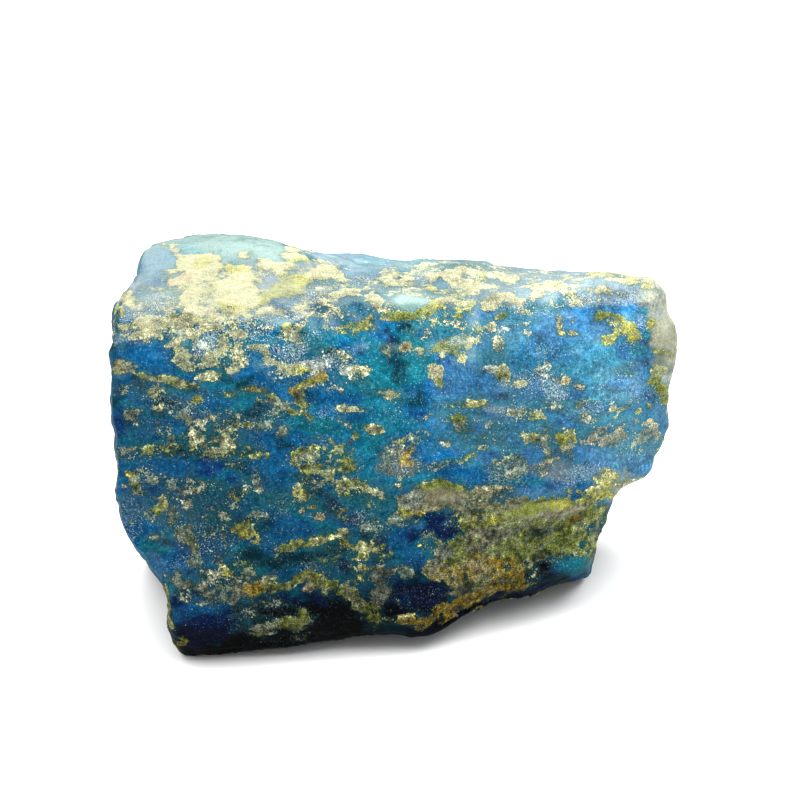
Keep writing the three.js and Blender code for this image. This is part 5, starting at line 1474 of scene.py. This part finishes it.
@dataclass
class Grains:
    """The noises that the material is worked out from, and what the surface holds for it."""

    graph: Graph

    def __post_init__(self) -> None:
        """Makes the noises, from coarse to fine, and reads the surface."""
        self.drift = self.noise(2.4, 3.0, 1.5)
        self.broad = self.noise(1.1, 4.0, 1.6)
        self.lumps = self.noise(0.5, 4.0)
        self.middle = self.noise(0.45, 3.0)
        self.stains = self.noise(0.36)
        self.mottle = self.noise(0.27, 3.0)
        self.flecks = self.noise(0.2)
        self.fine = self.noise(0.15)
        self.spark = self.noise(0.12, 1.0)
        self.grain = self.noise(0.09, 0.0)
        self.sand = 0.35 * self.fine + 0.35 * self.grain
        self.reach = self.graph.attribute("crust")
        self.frost = self.graph.attribute("frost")
        self.vivid = self.graph.attribute("vivid")
        # The painted light and shade, with some of the stone's own lightness, that its colours are
        # multiplied by.
        self.tone = self.graph.attribute("tone")

    def noise(self, size: float, detail: float = 2.0, stretch: float = 1.0) -> Value:
        """Fine noise about 0, mostly between -1 and 1.

        Args:
            size: the width of its lumps.
            detail: how many finer layers lie on it.
            stretch: how many times longer its lumps are along the bedding.

        Returns:
            The noise.
        """
        scale = 1.0 / (METRES * size)
        place = self.graph.node("ShaderNodeTexCoord", output="Object")
        spread = {"Vector": place, "Scale": (scale / stretch, scale, scale)}
        place = self.graph.node("ShaderNodeMapping", {"vector_type": "POINT"}, spread)
        look = {"Vector": place, "Scale": 1.0, "Detail": detail, "Roughness": 0.6}
        return 8.0 * (self.graph.node("ShaderNodeTexNoise", {"noise_dimensions": "3D"}, look) - 0.5)


@dataclass(frozen=True)
class LapisFinish:
    """Blue rock with a pale lacy crust, frosted, and speckled with pale grains and painted glints."""

    name: str = "Rough lapis"
    rock_roughness: float = 0.55
    crust_roughness: float = 0.78
    gloss: float = 0.03
    lace: float = 0.22  # how far the fine noise moves a crust's edge
    veil: float = 0.4  # this and the next ten tell how strongly each shows where it is full
    film: float = 0.45
    haze: float = 0.6
    halo: float = 0.4
    # The next is painted shade just outside a crust's edge, partly dark gaps.
    edge_shade: float = 0.5
    chalk: float = 0.3
    gilt: float = 0.6
    ash: float = 0.35
    rust: float = 0.2
    # The next is dark pits, partly painted shade in a crust's hollows.
    pits_and_shade: float = 0.8
    flecks: float = 0.5
    worn: float = 0.8  # how much of a crust is gone where it is worn
    crust_shade: float = 0.33  # how much darker a crust's middle is
    rim_light: float = 0.35  # how much lighter its rim is than that
    bump: float = 0.9
    relief: float = 0.12  # height of the fine bump
    darkest: float = 0.05  # the least that a colour's lightness is multiplied by

    def make(self) -> bpy.types.Material:
        """Builds the material.

        Returns:
            The finished material.
        """
        material = bpy.data.materials.new(self.name)
        material.use_nodes = True
        material.node_tree.nodes.clear()
        graph = Graph(material)
        grains = Grains(graph)
        broad, middle, mottle, fine = grains.broad, grains.middle, grains.mottle, grains.fine
        reach, vivid, tone = grains.reach, grains.vivid, grains.tone
        lace = 0.95 * broad + 0.5 * middle + 0.25 * fine + 0.12 * grains.grain
        edge = reach + self.lace * lace * (0.3 + 0.7 * vivid)
        loose = 1.0 - vivid
        laid = graph.ease(edge, -0.02 - 0.17 * loose, 0.18 + 0.05 * loose)
        film = graph.ease(edge, -0.6, 0.1)
        worn = graph.ease(mottle + 0.8 * fine + 0.3 * broad, 0.0, 1.3) * graph.ease(reach, 0.02, 0.2)
        haze = graph.ease(grains.grain + 0.8 * fine + 0.5 * mottle + 2.6 * grains.frost, 1.9, 3.4)
        rock = self.rock(grains, edge, film, haze)
        flecks = graph.ease(grains.flecks + 0.7 * middle + 0.4 * grains.drift + 0.9 * reach, 2.0, 2.4)
        rock = graph.mix(self.flecks * flecks, rock, self.shaded(graph, Tint.GRIT.paint[:3], tone))
        colour = graph.mix(laid * (1.0 - self.worn * worn * vivid), rock, self.crust(grains, edge))
        # Pale specks, partly pale grains and partly painted glints off crystal faces.
        sparkle = grains.spark + 0.4 * grains.drift + 0.8 * grains.frost + 0.5 * film
        specks_and_glints = graph.ease(sparkle, 2.0, 2.5) * (1.0 - 0.85 * laid)
        colour = graph.mix(specks_and_glints, colour, self.shaded(graph, Tint.STAR.paint[:3], tone**0.6))

        rough = self.rock_roughness + (self.crust_roughness - self.rock_roughness) * laid
        rough = rough + 0.25 * haze + 0.04 * fine
        height = 0.5 * laid + 0.12 * fine + 0.08 * grains.grain + 0.1 * mottle + 0.2 * haze
        bump = {"Strength": self.bump, "Distance": METRES * self.relief, "Height": height}
        normal = graph.node("ShaderNodeBump", {}, bump)
        shell = {"Base Color": colour, "Roughness": rough, "Normal": normal}
        shell["Specular IOR Level"] = self.gloss
        surface = graph.node("ShaderNodeBsdfPrincipled", {}, shell)
        graph.node("ShaderNodeOutputMaterial", {}, {"Surface": surface})
        return material

    def rock(self, grains: Grains, edge: Value, film: Value, haze: Value) -> Value:
        """The rock's colour, with a darker line where a crust begins: painted shade, partly dark gaps.

        Args:
            grains: the noises and what the surface holds.
            edge: how far inside a crust's edge the surface lies.
            film: how strongly a thin film of crust lies on it.
            haze: how strongly frost lies on it.

        Returns:
            The colour.
        """
        graph, vivid, tone, mottle = grains.graph, grains.vivid, grains.tone, grains.mottle
        light = vivid * (0.35 * grains.broad + 0.3 * grains.middle + 0.35 * mottle)
        light = 2.0 ** (light + (0.2 + 0.4 * vivid) * grains.sand)
        veil = self.veil * graph.ease(grains.broad + grains.drift, 0.4, 2.2)
        rock = graph.mix(veil, graph.attribute("rock", "Color"), Tint.VEIL.paint)
        rock = self.shaded(graph, rock, light)
        thin = self.film * film * graph.ease(grains.fine + mottle, -1.0, 0.8)
        rock = graph.mix(thin * graph.ease(tone, 0.15, 0.5), rock, Tint.FILM.paint)
        rock = graph.mix(self.haze * haze, rock, Tint.FROST.paint)
        rock = graph.mix(self.halo * vivid * graph.ease(edge, -0.35, -0.02), rock, Tint.HALO.paint)
        # Painted shade just outside a crust's edge, where the proud crust would shade the rock, partly dark
        # gaps.
        edge_shade = self.edge_shade * graph.ease(edge, -0.16, 0.0) * graph.ease(mottle, -1.0, 0.6)
        return self.shaded(graph, rock, (1.0 - edge_shade) * tone)

    def crust(self, grains: Grains, edge: Value) -> Value:
        """The crust's colour, gilt at its rim, stained and pitted.

        Args:
            grains: the noises and what the surface holds.
            edge: how far inside the crust's edge the surface lies.

        Returns:
            The colour.
        """
        graph, vivid, tone, mottle = grains.graph, grains.vivid, grains.tone, grains.mottle
        broad, drift, lumps = grains.broad, grains.drift, grains.lumps
        rim = graph.ease(edge, 0.2, 0.05)
        swing = vivid * (1.0 + 0.6 * graph.ease(tone, 1.3, 0.6))
        light = swing * (0.4 * broad + 0.55 * lumps + 0.5 * mottle)
        light = 2.0 ** (light + (0.2 + 1.3 * vivid) * grains.sand)
        chalk = self.chalk * graph.ease(broad - drift, 0.2, 1.6)
        skin = graph.mix(chalk, graph.attribute("skin", "Color"), Tint.CHALK.paint)
        gilt = self.gilt * rim * graph.ease(drift + 0.6 * mottle, -1.0, 1.0)
        skin = graph.mix(gilt * graph.ease(grains.reach, -0.05, 0.12), skin, Tint.GILT.paint)
        ash = self.ash * vivid * (1.0 - 0.7 * rim) * graph.ease(broad, -0.6, 1.0)
        skin = graph.mix(ash, skin, Tint.ASH.paint)
        skin = graph.mix(self.rust * graph.ease(grains.stains, 1.1, 2.0), skin, Tint.RUST.paint)
        # Dark pits, partly painted shade in the crust's hollows between its lumps, deeper where the stone
        # is painted darker.
        pits_and_shade = graph.ease(0.6 * mottle + 0.6 * grains.fine - 0.9 * lumps - 0.8 * rim, 0.5, 1.5)
        pits_and_shade = self.pits_and_shade * pits_and_shade * graph.ease(tone, 1.0, 0.6) * vivid
        skin = graph.mix(pits_and_shade, skin, Tint.PIT.paint)
        shade = 1.0 - self.crust_shade * vivid + self.rim_light * rim * vivid
        return self.shaded(graph, skin, light * shade * tone**0.7)

    def shaded(self, graph: Graph, colour: object, light: Value) -> Value:
        """The colour made lighter or darker.

        Args:
            graph: the material's nodes.
            colour: the colour.
            light: how many times lighter it becomes.

        Returns:
            The new colour.
        """
        light = light.sum("MAXIMUM", light, self.darkest)
        return graph.node("ShaderNodeVectorMath", {"operation": "SCALE"}, {0: colour, "Scale": light})


@dataclass
class Stone:
    """The whole stone: one piece over the frame's solid."""

    voxel: float = 0.27  # spacing of the fine mesh
    smoothing: int = 9  # how often that mesh is eased
    swells: tuple[tuple[float, float], ...] = (  # width and height
        (4.0, 0.1),
        (2.0, 0.09),
        (1.0, 0.08),
        (0.55, 0.06),
    )
    stretch: float = 1.7  # how many times longer the swells are along the stone
    bedding: float = 1.15  # spacing of the beds
    bed_warp: float = 0.8  # how far the beds wander
    warps: tuple[float, int] = (5.0, 2)  # size and layers of the noise that they wander with
    breaks: tuple[float, int] = (3.0, 2)  # and of the noise that breaks them up
    bed_depth: float = 0.08
    crust_height: float = 0.15
    crust_lumps: float = 0.35  # part of that height that its lumps change
    lump: float = 0.6  # their width
    hollow: float = 0.1  # how far the darkest rock lies back
    slim: float = 0.2  # how far all but its underside lies inside the frame's solid
    reserve: float = 0.012  # part of a side that it may stand outside the frame's box
    seed: int = 7
    markings: Markings = field(default_factory=Markings)
    finish: LapisFinish = field(default_factory=LapisFinish)

    def make(self, solid: bpy.types.Object) -> bpy.types.Object:
        """Builds and dresses the stone.

        Args:
            solid: the frame's solid.

        Returns:
            The stone.
        """
        mesh = self.eased(solid)
        points, normals = self.surface(mesh)
        self.markings.paint(points, normals)
        points = self.kept(points + normals * self.relief(points, normals)[:, None], solid)
        mesh.vertices.foreach_set("co", (points * METRES).ravel())
        mesh.update()
        mesh.shade_smooth()
        for name in ("rock", "skin", "crust", "frost", "tone", "vivid"):
            self.store(mesh, name, getattr(self.markings, name))
        mesh.materials.clear()
        mesh.materials.append(self.finish.make())
        stone = bpy.data.objects.new("Lapis.stone", mesh)
        bpy.context.scene.collection.objects.link(stone)
        return stone

    def eased(self, solid: bpy.types.Object) -> bpy.types.Mesh:
        """A fine mesh over the solid, with its facets eased.

        Args:
            solid: the frame's solid.

        Returns:
            The mesh.
        """
        blank = bpy.data.objects.new("Blank", solid.data.copy())
        bpy.context.scene.collection.objects.link(blank)
        remesh = blank.modifiers.new("Remesh", "REMESH")
        remesh.mode = "VOXEL"
        remesh.voxel_size = METRES * self.voxel
        smooth = blank.modifiers.new("Smooth", "SMOOTH")
        smooth.iterations = self.smoothing
        ready = blank.evaluated_get(bpy.context.evaluated_depsgraph_get())
        mesh = bpy.data.meshes.new_from_object(ready)
        bpy.data.objects.remove(blank)
        mesh.name = "Lapis.stone"
        return mesh

    def surface(self, mesh: bpy.types.Mesh) -> tuple[np.ndarray, np.ndarray]:
        """The mesh's points, in millimetres, and its normals.

        Args:
            mesh: the mesh.

        Returns:
            Both, one row for each vertex.
        """
        points = np.empty(len(mesh.vertices) * 3, np.float32)
        mesh.vertices.foreach_get("co", points)
        normals = np.empty(len(mesh.vertices) * 3, np.float32)
        mesh.vertex_normals.foreach_get("vector", normals)
        return points.reshape(-1, 3).astype(float) / METRES, normals.reshape(-1, 3).astype(float)

    def relief(self, points: np.ndarray, normals: np.ndarray) -> np.ndarray:
        """How far each point is raised.

        Args:
            points: one row for each point.
            normals: the way the surface faces there.

        Returns:
            The heights.
        """
        noise = [Noise(self.seed + i) for i in range(8)]
        height = np.zeros(len(points))
        for i, (size, rise) in enumerate(self.swells):
            height += rise * noise[i].at(points, (self.stretch * size, size, size))
        warp = self.bed_warp * noise[4].layered(points, *self.warps)
        along = (points @ self.markings.side.up + warp) / self.bedding
        saw = along - np.floor(along)
        steep = smooth_step(0.25, 0.8, self.markings.side.facing(points, normals))
        broken = smooth_step(-0.2, 0.5, noise[5].layered(points, *self.breaks))
        height += self.bed_depth * (np.abs(2.0 * saw - 1.0) - 0.5) * broken * steep
        crust = smooth_step(-0.1, 0.25, self.markings.crust)
        height += self.crust_height * crust * (1.0 + self.crust_lumps * noise[6].at(points, self.lump))
        dark = smooth_step(0.05, 0.01, self.markings.rock.max(axis=1))
        height -= self.hollow * dark * (1.0 - crust)
        height -= self.slim * smooth_step(-0.9, -0.5, normals[:, 2])
        across, up = self.markings.side.seen(points)
        return height + sum(trim.amount * trim.weight(across, up) for trim in TRIMS)

    def kept(self, points: np.ndarray, solid: bpy.types.Object) -> np.ndarray:
        """Keeps points above the floor and within the solid's box and its reserve.

        Args:
            points: one row for each point.
            solid: the frame's solid.

        Returns:
            The points that remain inside.
        """
        low, high = (np.asarray(corner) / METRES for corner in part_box(solid.name))
        spare = self.reserve * (high - low)
        floor = np.array((low[0] - spare[0], low[1] - spare[1], low[2]))
        return np.clip(points, floor, high + spare)

    def store(self, mesh: bpy.types.Mesh, name: str, values: np.ndarray) -> None:
        """Keeps a marking on the mesh under its name.

        Args:
            mesh: the mesh.
            name: what the finish calls it.
            values: a number or a colour for each vertex.
        """
        if values.ndim == 1:
            mesh.attributes.new(name, "FLOAT", "POINT").data.foreach_set("value", values)
            return
        colours = np.column_stack((values, np.ones(len(values))))
        mesh.attributes.new(name, "FLOAT_COLOR", "POINT").data.foreach_set("color", colours.ravel())


@dataclass
class Lamp:
    """A soft square light that looks at the stone."""

    name: str
    place: tuple[float, float, float]  # from the core
    size: float
    power: float  # watts

    def make(self, core: Vector) -> None:
        """Hangs the light.

        Args:
            core: the stone's core, in metres.
        """
        data = bpy.data.lights.new(self.name, "AREA")
        data.shape = "SQUARE"
        data.size = METRES * self.size
        data.energy = self.power
        lamp = bpy.data.objects.new(self.name, data)
        lamp.location = core + Vector(self.place) * METRES
        lamp.rotation_euler = (-Vector(self.place)).to_track_quat("-Z", "Y").to_euler()
        bpy.context.scene.collection.objects.link(lamp)


@dataclass
class Studio:
    """The pale table, the lights and the camera."""

    side: BroadSide = field(default_factory=BroadSide)
    lens: float = 100.287  # its focal length
    droop: float = 1.157  # degrees that the camera looks above the core, so the stone sits low
    yaw: float = 0.129  # degrees that it looks to the right of the core
    sensor: float = 36.0  # the width of its picture
    near: float = 0.01  # metres from the camera where its view starts
    far: float = 10.0  # and ends
    table: float = 4000.0  # its side
    table_grey: float = 0.94
    table_roughness: float = 0.9
    table_gloss: float = 0.1
    sky: float = 0.7  # how bright the surround is
    lamps: tuple[Lamp, ...] = (
        Lamp("Top.light", (40.0, 120.0, 700.0), 1400.0, 21.5),
        Lamp("Left.light", (-600.0, -100.0, 300.0), 600.0, 1.3),
    )

    def make(self) -> None:
        """Sets up everything round the stone."""
        self.lay_table()
        self.light()
        self.aim()

    def lay_table(self) -> None:
        """Lays the pale table top."""
        half = METRES * self.table / 2
        mesh = bpy.data.meshes.new("Table")
        corners = [(-half, -half, 0.0), (half, -half, 0.0), (half, half, 0.0), (-half, half, 0.0)]
        mesh.from_pydata(corners, [], [(0, 1, 2, 3)])
        material = bpy.data.materials.new("Pale table")
        material.use_nodes = True
        shader = material.node_tree.nodes["Principled BSDF"]
        shader.inputs["Base Color"].default_value = (*[self.table_grey] * 3, 1.0)
        shader.inputs["Roughness"].default_value = self.table_roughness
        shader.inputs["Specular IOR Level"].default_value = self.table_gloss
        mesh.materials.append(material)
        table = bpy.data.objects.new("Table.top", mesh)
        bpy.context.scene.collection.objects.link(table)

    def light(self) -> None:
        """Lights the stone softly from above."""
        world = bpy.data.worlds.new("White room")
        world.use_nodes = True
        background = world.node_tree.nodes["Background"]
        background.inputs["Color"].default_value = (1.0, 1.0, 1.0, 1.0)
        background.inputs["Strength"].default_value = self.sky
        scene = bpy.context.scene
        scene.world = world
        scene.view_settings.view_transform = "Standard"
        for lamp in self.lamps:
            lamp.make(Vector(self.side.core) * METRES)

    def aim(self) -> None:
        """Sets the camera square to the broad side."""
        side = self.side
        droop, yaw = math.radians(self.droop), math.radians(self.yaw)
        ahead = -side.out * math.cos(droop) + side.up * math.sin(droop) + side.across * math.sin(yaw)
        data = bpy.data.cameras.new("Camera")
        data.sensor_width = self.sensor
        data.lens = self.lens
        data.clip_start, data.clip_end = self.near, self.far
        camera = bpy.data.objects.new("Camera", data)
        camera.location = Vector(side.eye) * METRES
        camera.rotation_mode = "QUATERNION"
        camera.rotation_quaternion = Vector(ahead).to_track_quat("-Z", "Y")
        bpy.context.scene.collection.objects.link(camera)
        bpy.context.scene.camera = camera


def main() -> None:
    """Builds the stone and its studio, and notes how big the stone is."""
    logging.basicConfig(level=logging.INFO, format="%(message)s")
    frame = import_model()
    stone = Stone().make(frame["nodes"]["stone"])
    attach(stone, "root")
    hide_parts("stone")
    LOG.info("%s: %d faces", stone.name, len(stone.data.polygons))
    Studio().make()
    LOG.info("studio: table, lights and camera")


if __name__ == "__main__":
    main()
